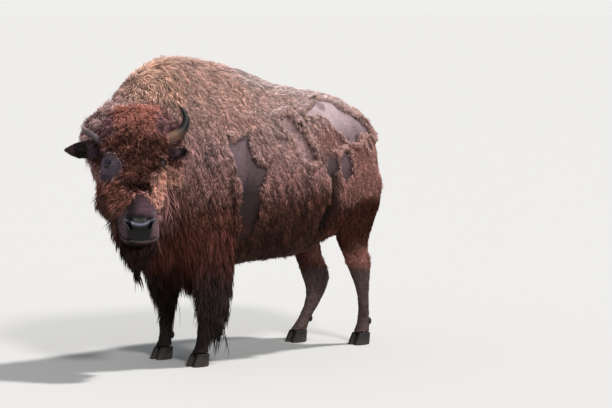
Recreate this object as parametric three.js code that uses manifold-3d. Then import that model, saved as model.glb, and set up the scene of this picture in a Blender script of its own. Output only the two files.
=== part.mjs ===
// An American bison cow, life size, as a still museum model in several solids.
// Millimetres, +Z up. The trunk faces -Y and the animal's left side is +X. Its hooves stand on z = 0.
// The head is turned to its left. The outer surfaces are the tips of the coat.

import * as THREE from "three";
import { mergeVertices } from "three/addons/utils/BufferGeometryUtils.js";
import Module from "manifold-3d";

const wasm = await Module();
wasm.setup();
const radians = THREE.MathUtils.degToRad;

// ---- Driving dimensions -------------------------------------------------------------------------

const humpTop = 1578; // height of the hump's wool over the floor
const backHeight = 1398; // the back, over the middle of the barrel
const rumpTop = 1326; // over the hips
const bellyHeight = 486; // the underside, behind the forelegs
const brisketHeight = 425; // the wool between the forelegs
const trunkFront = -700; // along Y, front of the breast
const trunkBack = 742; // along Y, back of the haunches
const barrelHalfWidth = 350;
const shoulderHalfWidth = 292;

const eyeMiddle = [205, -968, 1057]; // midway between the eyes
const headTurn = 57; // degrees to the animal's left
const headNod = 25; // degrees that the face leans out from the upright
const eyeSpread = 130; // from the middle of the head to an eyeball's centre
const eyeRadius = 21;
const muzzleEnd = 412; // from between the eyes down to the lips

const kneeHeight = 415;
const coronetHeight = 64; // top of the hoof
const hoofLength = 108;

const gap = 0.6; // width of a parting cut
const clearance = 0.35; // between a piece and the socket that it sits in

// ---- Tools for shapes ---------------------------------------------------------------------------

// A closed body through oval stations. Each has a centre `at`, a half width `wide`, and reaches `up` and
// `down` from the centre. `ridge` over 1 narrows the upper half and `keel` the lower half; under 1 fills it.
// Sections stand square to the line of centres, or to `along` where that is given.
function loft(stations, { rings, sides, up = [0, 0, 1], along = null, grow = 0 }) {
  const through = (pick) => new THREE.CatmullRomCurve3(stations.map((s) => new THREE.Vector3(...pick(s))));
  const centre = through((s) => s.at);
  const reach = through((s) => [s.wide, s.up, s.down]);
  const edges = through((s) => [s.ridge ?? 1, s.keel ?? 1, 0]);
  const upward = new THREE.Vector3(...up);
  const heading = (t) => (along ? new THREE.Vector3(...along) : centre.getTangent(t));
  const places = [];
  for (let ring = 0; ring <= rings; ring++) {
    const t = ring / rings;
    const side = heading(t).cross(upward).normalize();
    const rise = side.clone().cross(heading(t));
    const size = reach.getPoint(t);
    const edge = edges.getPoint(t);
    for (let k = 0; k < sides; k++) {
      const angle = (2 * Math.PI * k) / sides;
      const [c, s] = [Math.cos(angle), Math.sin(angle)];
      const power = s > 0 ? edge.x : edge.y;
      const across = Math.sign(c) * Math.abs(c) ** power * (size.x + grow);
      const high = Math.sign(s) * Math.abs(s) ** power * ((s > 0 ? size.y : size.z) + grow);
      const place = centre.getPoint(t).addScaledVector(side, across).addScaledVector(rise, high);
      places.push(place.x, place.y, place.z);
    }
  }
  for (const t of [0, 1]) {
    const end = centre.getPoint(t).addScaledVector(heading(t), (2 * t - 1) * grow);
    places.push(end.x, end.y, end.z);
  }
  const faces = [];
  const [first, last] = [sides * (rings + 1), sides * (rings + 1) + 1];
  for (let k = 0; k < sides; k++) {
    const next = (k + 1) % sides;
    for (let ring = 0; ring < rings; ring++) {
      const [a, b] = [ring * sides + k, ring * sides + next];
      faces.push(a, a + sides, b + sides, a, b + sides, b);
    }
    faces.push(first, k, next);
    faces.push(last, rings * sides + next, rings * sides + k);
  }
  const body = new THREE.BufferGeometry();
  body.setAttribute("position", new THREE.Float32BufferAttribute(places, 3));
  body.setIndex(faces);
  return body;
}

function solid(geometry) {
  const bare = geometry.clone();
  bare.deleteAttribute("normal");
  bare.deleteAttribute("uv");
  const merged = mergeVertices(bare, 1e-3);
  const mesh = new wasm.Mesh({
    numProp: 3,
    vertProperties: merged.attributes.position.array,
    triVerts: new Uint32Array(merged.index.array),
  });
  return new wasm.Manifold(mesh);
}

function geometryOf(body) {
  const { vertProperties, triVerts } = body.getMesh();
  const made = new THREE.BufferGeometry();
  made.setAttribute("position", new THREE.BufferAttribute(vertProperties, 3));
  made.setIndex(new THREE.BufferAttribute(triVerts, 1));
  return made;
}

const cutAll = (whole, cutters) => cutters.reduce((left, cutter) => left.subtract(cutter), whole);
const largest = (bodies) => bodies.decompose().sort((a, b) => b.volume() - a.volume())[0];

// An egg with these half lengths, at a place.
function egg([rx, ry, rz], [x, y, z], { facets, grow = 0 }) {
  const ball = new THREE.SphereGeometry(1, facets, facets / 2);
  return ball.scale(rx + grow, ry + grow, rz + grow).translate(x, y, z);
}

// Everything in front of a plane square to the heading, which is turned and tilted from -Y, in degrees.
function inFrontOf([x, y, z], { turn = 0, tilt = 0 }, extra = 0) {
  const size = 8000;
  const block = new THREE.BoxGeometry(size, size, size).translate(0, extra - size / 2, 0);
  return solid(block.rotateX(radians(tilt)).rotateZ(radians(turn)).translate(x, y, z));
}

// What lies on one side of the body, below a plane that rises outwards.
function underSlope(side, { innerX, innerZ, outerX, outerZ }, extra = 0) {
  const rise = (outerZ - innerZ) / (outerX - innerX);
  const shape = new THREE.Shape([
    new THREE.Vector2(innerX - extra, -50),
    new THREE.Vector2(outerX + extra, -50),
    new THREE.Vector2(outerX + extra, outerZ + extra * (1 + rise)),
    new THREE.Vector2(innerX - extra, innerZ + extra * (1 - rise)),
  ]);
  const prism = new THREE.ExtrudeGeometry(shape, { depth: 3000, bevelEnabled: false });
  const wedge = solid(prism.rotateX(Math.PI / 2).translate(0, 1500, 0));
  return side > 0 ? wedge : wedge.mirror([1, 0, 0]);
}

// ---- The trunk ------------------------------------------------------------------------------------

const widest = 885; // height at which the trunk is widest
const highestCentre = 1000;
const trunkStations = [
  { y: trunkFront, top: humpTop - 50, bottom: 640, wide: 165, ridge: 1.1 },
  { y: -635, top: humpTop - 12, bottom: 525, wide: 236, ridge: 1.15, keel: 1.1 },
  { y: -520, top: humpTop, bottom: brisketHeight, wide: shoulderHalfWidth - 12, ridge: 1.18, keel: 1.2 },
  { y: -370, top: humpTop - 16, bottom: brisketHeight, wide: shoulderHalfWidth, ridge: 1.22, keel: 1.2 },
  { y: -190, top: humpTop - 64, bottom: bellyHeight - 12, wide: 318, ridge: 1.2, keel: 1.1 },
  { y: 0, top: backHeight + 48, bottom: bellyHeight - 6, wide: barrelHalfWidth - 8, ridge: 1.1 },
  { y: 190, top: backHeight, bottom: bellyHeight, wide: barrelHalfWidth },
  { y: 370, top: backHeight - 34, bottom: bellyHeight + 65, wide: barrelHalfWidth - 20 },
  { y: 530, top: rumpTop, bottom: bellyHeight + 180, wide: 298 },
  { y: 645, top: rumpTop - 68, bottom: bellyHeight + 250, wide: 240 },
  { y: 708, top: rumpTop - 145, bottom: bellyHeight + 330, wide: 165 },
  { y: trunkBack, top: 1080, bottom: 890, wide: 70 },
].map(({ y, top, bottom, wide, ridge, keel }) => {
  const centre = Math.min(Math.max(widest, bottom + 0.42 * (top - bottom)), highestCentre);
  return { at: [0, y, centre], wide, up: top - centre, down: centre - bottom, ridge, keel };
});
const trunk = (grow = 0) => solid(loft(trunkStations, { rings: 18, sides: 18, along: [0, 1, 0], grow }));

// ---- The neck, from inside the shoulders to inside the skull ----------------------------------------

const neckStations = [
  { at: [0, -480, 1120], wide: 225, up: 395, down: 430, ridge: 1.2 },
  { at: [-8, -630, 1110], wide: 238, up: 458, down: 450, ridge: 1.15 },
  { at: [-20, -755, 1100], wide: 232, up: 392, down: 440, ridge: 1.05 },
  { at: [-6, -850, 1085], wide: 222, up: 285, down: 365 },
  { at: [34, -922, 1074], wide: 190, up: 205, down: 255 },
];
const neck = (grow = 0) => solid(loft(neckStations, { rings: 8, sides: 16, grow }));

// ---- The head, in its own axes: x to its left, y out of the forehead, z down the face to the nose -----

const headPlace = new THREE.Matrix4()
  .makeTranslation(...eyeMiddle)
  .multiply(new THREE.Matrix4().makeRotationZ(radians(headTurn)))
  .multiply(new THREE.Matrix4().makeRotationX(radians(-headNod)))
  .multiply(new THREE.Matrix4().makeRotationX(Math.PI));
const onHead = (geometry) => solid(geometry.applyMatrix4(headPlace));
const outOfFace = [0, 1, 0];
const downFace = [0, 0, 1];

const skullStations = [
  { at: [0, 0, -312], wide: 70, up: 40, down: 60 },
  { at: [0, -2, -290], wide: 128, up: 80, down: 105 },
  { at: [0, -5, -215], wide: 172, up: 122, down: 150 },
  { at: [-4, -22, -110], wide: 178, up: 140, down: 175 },
  { at: [-4, -50, -5], wide: 168, up: 142, down: 160, ridge: 1.1 },
  { at: [-22, -85, 80], wide: 182, up: 166, down: 140, ridge: 1.35 },
  { at: [-22, -82, 150], wide: 180, up: 152, down: 135, ridge: 1.35, keel: 1.1 },
  { at: [-16, -62, 205], wide: 146, up: 116, down: 135, ridge: 1.15, keel: 1.1 },
  { at: [-8, -36, 250], wide: 112, up: 80, down: 138 },
  { at: [-3, -28, 310], wide: 100, up: 69, down: 118, ridge: 0.88, keel: 0.9 },
  { at: [0, -34, 362], wide: 99, up: 64, down: 96, ridge: 0.85, keel: 0.9 },
  { at: [0, -45, 398], wide: 82, up: 44, down: 70, ridge: 0.9 },
  { at: [0, -54, muzzleEnd], wide: 46, up: 20, down: 34 },
];
const skull = (grow = 0) =>
  onHead(loft(skullStations, { rings: 20, sides: 18, up: outOfFace, along: downFace, grow }));
// The wool behind the horns.
const ruff = (grow = 0) => onHead(egg([250, 130, 226], [-30, -150, -176], { facets: 14, grow }));

const nostril = (side) => egg([16, 18, 22], [side * 61, 29, 306], { facets: 10 });
const eyePlace = (side) => [side * eyeSpread, -8, 0];
const eyeball = (side, grow = 0) => egg(Array(3).fill(eyeRadius), eyePlace(side), { facets: 10, grow });
const eyeHollow = (side) => egg([34, 40, 38], [side * (eyeSpread + 42), 6, 0], { facets: 12 });

// Everything below the line of the mouth, from its corner to the front of the lips.
const mouthCorner = { y: -75, z: 200 };
const mouthSlope = 15.5;
function underMouth(extra = 0) {
  const [width, depth, length] = [500, 300, 400];
  const block = new THREE.BoxGeometry(width, depth, length + extra);
  block.translate(0, extra - depth / 2, (length - extra) / 2);
  return onHead(block.rotateX(radians(-mouthSlope)).translate(0, mouthCorner.y, mouthCorner.z));
}

// ---- Horns and ears, in the head's axes ---------------------------------------------------------------

// A horn runs through round stations: [x, y, z, radius]. The right one is short and blunt.
const horns = {
  horn_left: {
    side: 1,
    line: [
      [88, -42, -118, 27],
      [150, -43, -135, 27],
      [206, -45, -158, 24],
      [244, -45, -192, 20],
      [262, -42, -236, 15.5],
      [254, -42, -282, 10],
      [226, -46, -324, 2.5],
    ],
  },
  horn_right: {
    side: -1,
    line: [
      [88, -42, -118, 27],
      [150, -44, -132, 24],
      [195, -38, -154, 20],
      [226, -20, -172, 16],
      [258, 4, -188, 9],
    ],
  },
};
function horn(name, grow = 0) {
  const { side, line } = horns[name];
  const stations = line.map(([x, y, z, r]) => ({ at: [side * x, y, z], wide: r, up: r, down: r }));
  return loft(stations, { rings: 11, sides: 8, up: outOfFace, grow });
}

// An ear is a thick leaf from its root out to its tip: [share of the length, share of width, of thickness].
const earLeaf = [
  [0, 0.5, 1],
  [0.2, 0.66, 1],
  [0.45, 1, 0.85],
  [0.7, 0.88, 0.65],
  [0.9, 0.48, 0.4],
  [1, 0.08, 0.1],
];
const ears = {
  ear_left: { side: 1, root: [112, -80, -92], tip: [284, -122, -120], half: 48, thick: 22 },
  ear_right: { side: -1, root: [112, -66, -92], tip: [350, -90, -108], half: 56, thick: 22 },
};
const alongEar = ({ side, root, tip }, t) => {
  const [x, y, z] = root.map((from, axis) => from + (tip[axis] - from) * t);
  return [side * x, y, z];
};
function ear(name, grow = 0) {
  const { half, thick } = ears[name];
  const stations = earLeaf.map(([t, w, d]) => {
    return { at: alongEar(ears[name], t), wide: half * w, up: thick * d, down: thick * d };
  });
  return loft(stations, { rings: 8, sides: 8, up: outOfFace, grow });
}
// The cup of the ear, open to the front.
function earCup(name) {
  const { half } = ears[name];
  const [x, y, z] = alongEar(ears[name], 0.56);
  return egg([half * 1.15, 17, half * 0.66], [x, y + 20, z], { facets: 10 });
}

// ---- The legs -----------------------------------------------------------------------------------------

// `up` is the reach towards the front of the leg and `down` towards the back.
const legAxes = { up: [0, -1, 0], along: [0, 0, -1] };
// Each row is a height, the middle along Y, and the half width and half length there.
const upright = (side, x, rows) =>
  rows.map(([z, y, wide, reach]) => ({ at: [side * x(z), y, z], wide, up: reach, down: reach }));

const forelegRows = (hoofY, bow = 0) => [
  [900, hoofY + bow + 70, 66, 100],
  [760, hoofY + bow + 62, 78, 105],
  [640, hoofY + bow + 45, 76, 92],
  [520, hoofY + bow + 25, 66, 73],
  [kneeHeight - 5, hoofY + bow, 56, 58],
  [325, hoofY + 14, 40, 42],
  [240, hoofY + 16, 32, 34],
  [150, hoofY + 22, 36, 40],
  [105, hoofY + 12, 35, 38],
  [coronetHeight, hoofY, 47, 47],
];
const legs = {
  foreleg_left: { side: 1, x: 154, hoofY: -526, dewclaws: 54, bend: kneeHeight, rows: forelegRows(-526, 12) },
  foreleg_right: { side: -1, x: 160, hoofY: -508, dewclaws: 54, bend: kneeHeight, rows: forelegRows(-508) },
  hindleg_left: {
    side: 1,
    x: 148,
    hoofY: 598,
    dewclaws: 54,
    bend: 455,
    rows: [
      [1040, 530, 70, 90],
      [850, 540, 124, 182],
      [720, 520, 108, 160],
      [617, 512, 88, 124],
      [535, 524, 68, 92],
      [487, 542, 58, 85],
      [435, 565, 50, 84],
      [363, 584, 43, 58],
      [291, 600, 35, 40],
      [215, 610, 30, 32],
      [125, 612, 34, 35],
      [coronetHeight, 600, 47, 46],
    ],
  },
  hindleg_right: {
    side: -1,
    x: 144,
    hoofY: 408,
    dewclaws: 84,
    bend: 400,
    rows: [
      [1040, 520, 70, 90],
      [850, 520, 124, 182],
      [720, 490, 110, 158],
      [610, 466, 92, 122],
      [515, 476, 74, 92],
      [450, 500, 60, 90],
      [400, 522, 52, 94],
      [350, 546, 46, 100],
      [300, 550, 42, 82],
      [255, 542, 37, 66],
      [200, 514, 33, 52],
      [130, 462, 33, 40],
      [coronetHeight, 410, 47, 46],
    ],
  },
};
function leg(name, grow = 0) {
  const { side, x, rows } = legs[name];
  const leaning = (z) => x + THREE.MathUtils.clamp((z - coronetHeight) / 25, 0, 26);
  return solid(loft(upright(side, leaning, rows), { rings: 13, sides: 10, ...legAxes, grow }));
}

// Where the legs part from the trunk.
const legEdge = 10;
const partingSlopes = {
  foreleg: { innerX: 15, innerZ: 300, outerX: 420, outerZ: 900 },
  hindleg: { innerX: 15, innerZ: 560, outerX: 420, outerZ: 935 },
};
// The end of a leg below the trunk's edge.
function legBelow(name, extra = 0) {
  const slope = partingSlopes[name.split("_")[0]];
  return leg(name, legEdge + extra).intersect(underSlope(legs[name].side, slope, extra));
}
const below = (height, extra = 0) => inFrontOf([0, 0, height], { tilt: 90 }, extra);

// One claw of a cloven hoof, flat below, with its toe to the front. `lean` is +1 or -1 from the cleft.
function claw(lean) {
  const stations = [
    { at: [lean * 26, -14, 0], wide: 23, up: hoofLength * 0.5, down: hoofLength * 0.44 },
    { at: [lean * 26, -9, 26], wide: 23, up: hoofLength * 0.45, down: hoofLength * 0.42 },
    { at: [lean * 24, 0, coronetHeight - gap], wide: 20, up: 38, down: 42 },
  ];
  return loft(stations, { rings: 2, sides: 10, up: [0, -1, 0], along: [0, 0, 1] });
}
// The two small claws behind the fetlock.
const dewclaw = (grow = 0) => egg([13, 13, 22], [0, 0, 0], { facets: 8, grow });
function dewclawPlace(name, lean) {
  const { side, x, hoofY, dewclaws } = legs[name];
  return [side * x + lean * 21, hoofY + dewclaws, 122];
}

// ---- Long hair and the tail -----------------------------------------------------------------------------

// The long hair of a foreleg, a sleeve round the forearm that hangs behind the knee.
const chaps = {
  chaps_left: {
    side: 1,
    x: 166,
    rows: [
      [750, -460, 80, 110],
      [660, -455, 108, 136],
      [540, -450, 104, 138],
      [420, -450, 94, 132],
      [310, -452, 80, 124],
      [225, -450, 58, 98],
      [165, -432, 26, 46],
    ],
  },
  chaps_right: {
    side: -1,
    x: 168,
    rows: [
      [750, -490, 80, 110],
      [660, -495, 108, 134],
      [540, -502, 102, 134],
      [432, -503, 90, 122],
      [330, -488, 70, 94],
      [250, -470, 46, 62],
      [190, -462, 20, 30],
    ],
  },
};
function sleeve(name) {
  const { side, x, rows } = chaps[name];
  return solid(loft(upright(side, () => x, rows), { rings: 8, sides: 10, ...legAxes }));
}

const facing = new THREE.Vector3(0, -1, 0).applyAxisAngle(new THREE.Vector3(0, 0, 1), radians(headTurn));
// A place on the upright plane through the middle of the head, this far in front of the eyes.
const underHead = (ahead, z) => [eyeMiddle[0] + facing.x * ahead, eyeMiddle[1] + facing.y * ahead, z];
const beardStations = [
  { at: underHead(-70, 880), wide: 80, up: 70, down: 80 },
  { at: underHead(-66, 800), wide: 110, up: 95, down: 105 },
  { at: underHead(-50, 725), wide: 118, up: 118, down: 118 },
  { at: underHead(-32, 660), wide: 104, up: 104, down: 118 },
  { at: underHead(-30, 600), wide: 76, up: 76, down: 92 },
  { at: underHead(-34, 540), wide: 40, up: 44, down: 54 },
  { at: underHead(-38, 480), wide: 9, up: 10, down: 14 },
];
const beard = loft(beardStations, { rings: 8, sides: 10, up: facing.toArray(), along: [0, 0, -1] });

// The tail leaves the rump and then hangs, bowed back a little.
const tailY = (z) => trunkBack + 30 * Math.sin((Math.PI * (z - 560)) / 700);
const hung = (rows) =>
  rows.map(([z, y, r]) => ({ at: [0, y, z], wide: r * 1.1, up: r, down: r }));
const tail = loft(
  hung([
    [1235, trunkBack - 95, 40],
    [1200, trunkBack - 28, 33],
    [1110, tailY(1110), 25],
    [960, tailY(960), 20],
    [840, tailY(840), 17],
  ]),
  { rings: 8, sides: 8, up: [0, -1, 0] },
);
const tailTuft = loft(
  hung([
    [838, tailY(838), 20],
    [770, tailY(770), 31],
    [690, tailY(690), 27],
    [610, tailY(610), 8],
  ]),
  { rings: 6, sides: 8, up: [0, -1, 0] },
);

// ---- Hair and tail pieces, less what they hang over -----------------------------------------------------

const legNames = Object.keys(legs);
const hanging = {
  tail: largest(solid(tail).subtract(trunk(gap))),
  tail_tuft: solid(tailTuft),
  beard: largest(cutAll(solid(beard), [skull(gap), ruff(gap), neck(gap), trunk(gap)])),
};
for (const name of Object.keys(chaps)) {
  const foreleg = leg(name.replace("chaps", "foreleg"), gap);
  hanging[name] = largest(cutAll(sleeve(name), [foreleg, trunk(gap), neck(gap)]));
}

// ---- The body as one, with sockets, then parted by thin cuts ---------------------------------------------

const sockets = [
  ...Object.keys(horns).map((name) => onHead(horn(name, clearance))),
  ...Object.keys(ears).map((name) => onHead(ear(name, clearance))),
  ...[1, -1].flatMap((side) => [eyeHollow(side), nostril(side), eyeball(side, clearance)]).map(onHead),
  ...legNames.flatMap((name) =>
    [1, -1].map((lean) => solid(dewclaw(clearance).translate(...dewclawPlace(name, lean)))),
  ),
];
const body = [trunk(), neck(), skull(), ruff(), ...legNames.map((name) => leg(name))];
let rest = cutAll(body.reduce((sum, next) => sum.add(next)), sockets);

// Takes what a cutter holds off the rest, and leaves a gap's width between the two.
function take(cutter) {
  const piece = rest.intersect(cutter(0));
  rest = rest.subtract(cutter(gap));
  return piece;
}

const flesh = {};
for (const name of legNames) {
  const { bend } = legs[name];
  const whole = take((extra) => legBelow(name, extra));
  flesh[`${name}_upper`] = largest(whole.subtract(below(bend, gap)));
  flesh[`${name}_lower`] = largest(whole.intersect(below(bend)));
}
rest = largest(rest);

const nape = underHead(-150, eyeMiddle[2]);
const wholeHead = take((extra) => inFrontOf(nape, { turn: headTurn }, extra));
flesh.head = wholeHead.subtract(underMouth(gap));
flesh.jaw = wholeHead.intersect(underMouth());
flesh.neck = take((extra) => inFrontOf([0, trunkFront, 1100], { tilt: -8 }, extra));
flesh.shoulders = take((extra) => inFrontOf([0, -200, 0], {}, extra));
flesh.barrel = take((extra) => inFrontOf([0, 330, 0], {}, extra));
flesh.haunches = largest(rest);

// ---- The group ------------------------------------------------------------------------------------------

const bison = new THREE.Group();
const looks = {
  wool: { color: 0x6b4a38, roughness: 0.95 },
  darkHair: { color: 0x2c1f1a, roughness: 0.9 },
  horn: { color: 0x3a352c, roughness: 0.45 },
  hoof: { color: 0x1f1b18, roughness: 0.6 },
  eye: { color: 0x0b0807, roughness: 0.08 },
};
function put(name, geometry, look, parent = bison) {
  const mesh = new THREE.Mesh(geometry, new THREE.MeshStandardMaterial({ ...looks[look], metalness: 0 }));
  mesh.name = name;
  parent.add(mesh);
  return mesh;
}

const head = new THREE.Group();
head.applyMatrix4(headPlace);
bison.add(head);
for (const [name, piece] of Object.entries(flesh)) put(name, geometryOf(piece), "wool");
for (const [name, piece] of Object.entries(hanging)) put(name, geometryOf(piece), "darkHair");
for (const name of Object.keys(horns)) put(name, horn(name), "horn", head);
for (const name of Object.keys(ears)) {
  const past = [earCup(name), horn(name.replace("ear", "horn"), gap)].map(solid);
  put(name, geometryOf(largest(cutAll(solid(ear(name)), past))), "wool", head);
}
put("eye_left", eyeball(1), "eye", head);
put("eye_right", eyeball(-1), "eye", head);
for (const name of legNames) {
  const { side, x, hoofY } = legs[name];
  for (const [place, lean] of [["inner", -side], ["outer", side]]) {
    put(`hoof_${name}_${place}`, claw(lean), "hoof").position.set(side * x, hoofY, 0);
    put(`dewclaw_${name}_${place}`, dewclaw(), "hoof").position.set(...dewclawPlace(name, lean));
  }
}

// The origin is on the floor under the middle of the whole animal.
const extent = new THREE.Box3().setFromObject(bison, true);
const middle = extent.getCenter(new THREE.Vector3());
bison.position.set(-middle.x, -middle.y, -extent.min.z);

export default bison;
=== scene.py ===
# American bison, standing still, in half-shed summer coat. Metres, the front towards -Y, its left towards +X.
import math

import bmesh
import bpy
import numpy as np
from mathutils import Matrix, Vector
from mathutils.bvhtree import BVHTree
from mathutils.kdtree import KDTree


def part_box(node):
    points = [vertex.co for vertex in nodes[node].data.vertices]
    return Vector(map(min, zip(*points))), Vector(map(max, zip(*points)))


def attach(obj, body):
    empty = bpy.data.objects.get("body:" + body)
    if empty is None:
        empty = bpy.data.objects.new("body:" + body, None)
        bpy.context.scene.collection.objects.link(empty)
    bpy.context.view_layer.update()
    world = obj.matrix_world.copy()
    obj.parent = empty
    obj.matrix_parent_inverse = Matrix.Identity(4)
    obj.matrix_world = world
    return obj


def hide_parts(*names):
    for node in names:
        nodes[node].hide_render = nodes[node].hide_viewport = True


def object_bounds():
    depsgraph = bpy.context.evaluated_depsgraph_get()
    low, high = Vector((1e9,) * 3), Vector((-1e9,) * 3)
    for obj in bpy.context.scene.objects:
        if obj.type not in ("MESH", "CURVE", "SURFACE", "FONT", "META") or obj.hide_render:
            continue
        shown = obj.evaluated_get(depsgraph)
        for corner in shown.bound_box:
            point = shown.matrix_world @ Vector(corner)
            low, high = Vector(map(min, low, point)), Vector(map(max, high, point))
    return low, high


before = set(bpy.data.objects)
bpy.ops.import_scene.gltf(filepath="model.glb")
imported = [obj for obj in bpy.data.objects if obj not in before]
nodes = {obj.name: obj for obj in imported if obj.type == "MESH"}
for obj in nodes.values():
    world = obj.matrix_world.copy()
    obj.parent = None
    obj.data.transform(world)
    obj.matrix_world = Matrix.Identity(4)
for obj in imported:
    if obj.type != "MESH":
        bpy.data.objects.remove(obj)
cadBox = [list(corner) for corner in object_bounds()]
mm = 0.001
weld = 0.05 * mm


# Numbers on arrays of points.
def unit(vectors):
    return vectors / np.maximum(np.linalg.norm(vectors, axis=-1, keepdims=True), 1e-9)


def ramp(low, high, value):  # 0 below low, 1 above high, smooth between
    t = np.clip((value - low) / (high - low), 0, 1)
    return t * t * (3 - 2 * t)


def blend(a, b, t):
    return a + (b - a) * t


def cloud(points, size, seed=0):  # smooth noise from -1 to 1, with lumps of the given size
    place = points / size + seed * 7.31
    cell = np.floor(place).astype(np.int64)
    part = place - cell
    part = part * part * (3 - 2 * part)
    total = np.zeros(len(points))
    for corner in range(8):
        offset = np.array([corner & 1, corner >> 1 & 1, corner >> 2 & 1])
        mixed = (cell + offset) * np.array([73856093, 19349663, 83492791])
        code = mixed[:, 0] ^ mixed[:, 1] ^ mixed[:, 2]
        code = (code ^ (code >> 13)) * 1274126177
        share = np.where(offset == 1, part, 1 - part).prod(axis=1)
        total += share * (((code >> 8) & 0xFFFF) / 32767.5 - 1)
    return total


def tone(points, size, depth, seed=0):  # a brightness factor round 1
    return np.exp(depth * cloud(points, size, seed))


# The head's own axes: x to its left, y out of the forehead, z down the face.
headPose = {"turn": 57, "nod": 25, "eyesBehindOrigin": 8}


def boxMiddle(name):
    low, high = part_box(name)
    return np.array((low + high) / 2)


headTurn = Matrix.Rotation(math.radians(headPose["turn"]), 3, "Z")
headNod = Matrix.Rotation(math.radians(180 - headPose["nod"]), 3, "X")
headAxes = np.array(headTurn @ headNod)
eyesMiddle = (boxMiddle("eye_left") + boxMiddle("eye_right")) / 2
headOrigin = eyesMiddle + headAxes[:, 1] * headPose["eyesBehindOrigin"] * mm


def inHead(points):  # millimetres in the head's axes
    return (points - headOrigin) @ headAxes / mm


def fromHead(local):
    return headOrigin + np.asarray(local, float) * mm @ headAxes.T


# Small helpers for meshes and objects.
def addObject(name, data):
    thing = bpy.data.objects.new(name, data)
    bpy.context.scene.collection.objects.link(thing)
    return thing


def coordsOf(mesh):
    flat = np.zeros(len(mesh.vertices) * 3, np.float32)
    mesh.vertices.foreach_get("co", flat)
    return flat.reshape(-1, 3).astype(float)


def normalsOf(mesh):
    flat = np.zeros(len(mesh.vertices) * 3, np.float32)
    mesh.vertex_normals.foreach_get("vector", flat)
    return flat.reshape(-1, 3).astype(float)


def setCoords(mesh, coords):
    mesh.vertices.foreach_set("co", coords.astype(np.float32).ravel())
    mesh.update()


def paint(mesh, name, colours):  # a colour for each vertex
    if name in mesh.color_attributes:
        mesh.color_attributes.remove(mesh.color_attributes[name])
    layer = mesh.color_attributes.new(name, "FLOAT_COLOR", "POINT")
    full = np.ones((len(colours), 4), np.float32)
    full[:, :3] = colours
    layer.data.foreach_set("color", full.ravel())


def blendedTowards(colour, tint, amount):  # blended towards a tint, by a share for each point
    return blend(colour, tint, amount[:, None])


def paintValue(mesh, name, values):
    layer = mesh.attributes.new(name, "FLOAT", "POINT")
    layer.data.foreach_set("value", np.asarray(values, np.float32))


def smoothShade(mesh):
    mesh.polygons.foreach_set("use_smooth", np.ones(len(mesh.polygons), bool))


def meshFrom(bm, name):
    mesh = bpy.data.meshes.new(name)
    bm.to_mesh(mesh)
    bm.free()
    return mesh


def asMesh(thing):  # the object's mesh with its modifiers worked in
    view = bpy.context.evaluated_depsgraph_get()
    mesh = bpy.data.meshes.new_from_object(thing.evaluated_get(view))
    thing.modifiers.clear()
    thing.data = mesh
    return mesh


def joinedShell(thing, voxel):  # one closed shell round all that the object holds
    remesh = thing.modifiers.new("join", "REMESH")
    remesh.mode = "VOXEL"
    remesh.voxel_size = voxel * mm
    return asMesh(thing)


class Neighbours:
    def __init__(self, mesh):
        pairs = np.zeros(len(mesh.edges) * 2, np.int32)
        mesh.edges.foreach_get("vertices", pairs)
        pairs = pairs.reshape(-1, 2)
        start = np.concatenate([pairs[:, 0], pairs[:, 1]])
        order = np.argsort(start, kind="stable")
        self.other = np.concatenate([pairs[:, 1], pairs[:, 0]])[order]
        self.first = np.searchsorted(start[order], np.arange(len(mesh.vertices)))
        self.count = np.bincount(start, minlength=len(mesh.vertices))[:, None]

    def mean(self, values):
        return np.add.reduceat(values[self.other], self.first, axis=0) / self.count

    def relax(self, values, rounds, share=1.0, hold=True):  # hold keeps thin parts from shrinking
        for _ in range(rounds):
            values = values + 0.5 * share * (self.mean(values) - values)
            if hold:
                values = values - 0.52 * share * (self.mean(values) - values)
        return values


# Materials: expressions on sockets.
class Socket:
    def __init__(self, shader, link):
        self.shader = shader
        self.link = link

    def maths(self, operation, *values):
        return self.shader.node("ShaderNodeMath", {"operation": operation}, *values)

    def __add__(self, other): return self.maths("ADD", self, other)
    def __radd__(self, other): return self.maths("ADD", other, self)
    def __sub__(self, other): return self.maths("SUBTRACT", self, other)
    def __rsub__(self, other): return self.maths("SUBTRACT", other, self)
    def __mul__(self, other): return self.maths("MULTIPLY", self, other)
    def __rmul__(self, other): return self.maths("MULTIPLY", other, self)


class Nodes:
    def __init__(self, tree):
        self.tree = tree

    def node(self, kind, settings=None, *values, out=0, **named):
        made = self.tree.nodes.new(kind)
        for key, value in (settings or {}).items():
            if key == "stops":
                while len(made.color_ramp.elements) < len(value):
                    made.color_ramp.elements.new(0.5)
                for element, (place, colour) in zip(made.color_ramp.elements, value):
                    element.position = place
                    element.color = (*colour, 1)
            else:
                setattr(made, key, value)
        inputs = dict(enumerate(values)) | {key.replace("_", " "): value for key, value in named.items()}
        for key, value in inputs.items():
            self.feed(made.inputs[key], value)
        return Socket(self, made.outputs[out])

    def feed(self, socket, value):
        if isinstance(value, Socket):
            self.tree.links.new(value.link, socket)
        elif value is not None:
            socket.default_value = value

    def mixed(self, amount, first, second, blending="MIX"):  # the colour sockets are the seventh and eighth
        settings = {"data_type": "RGBA", "blend_type": blending}
        return self.node("ShaderNodeMix", settings, amount, None, None, None, None, None, first, second, out=2)


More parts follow.
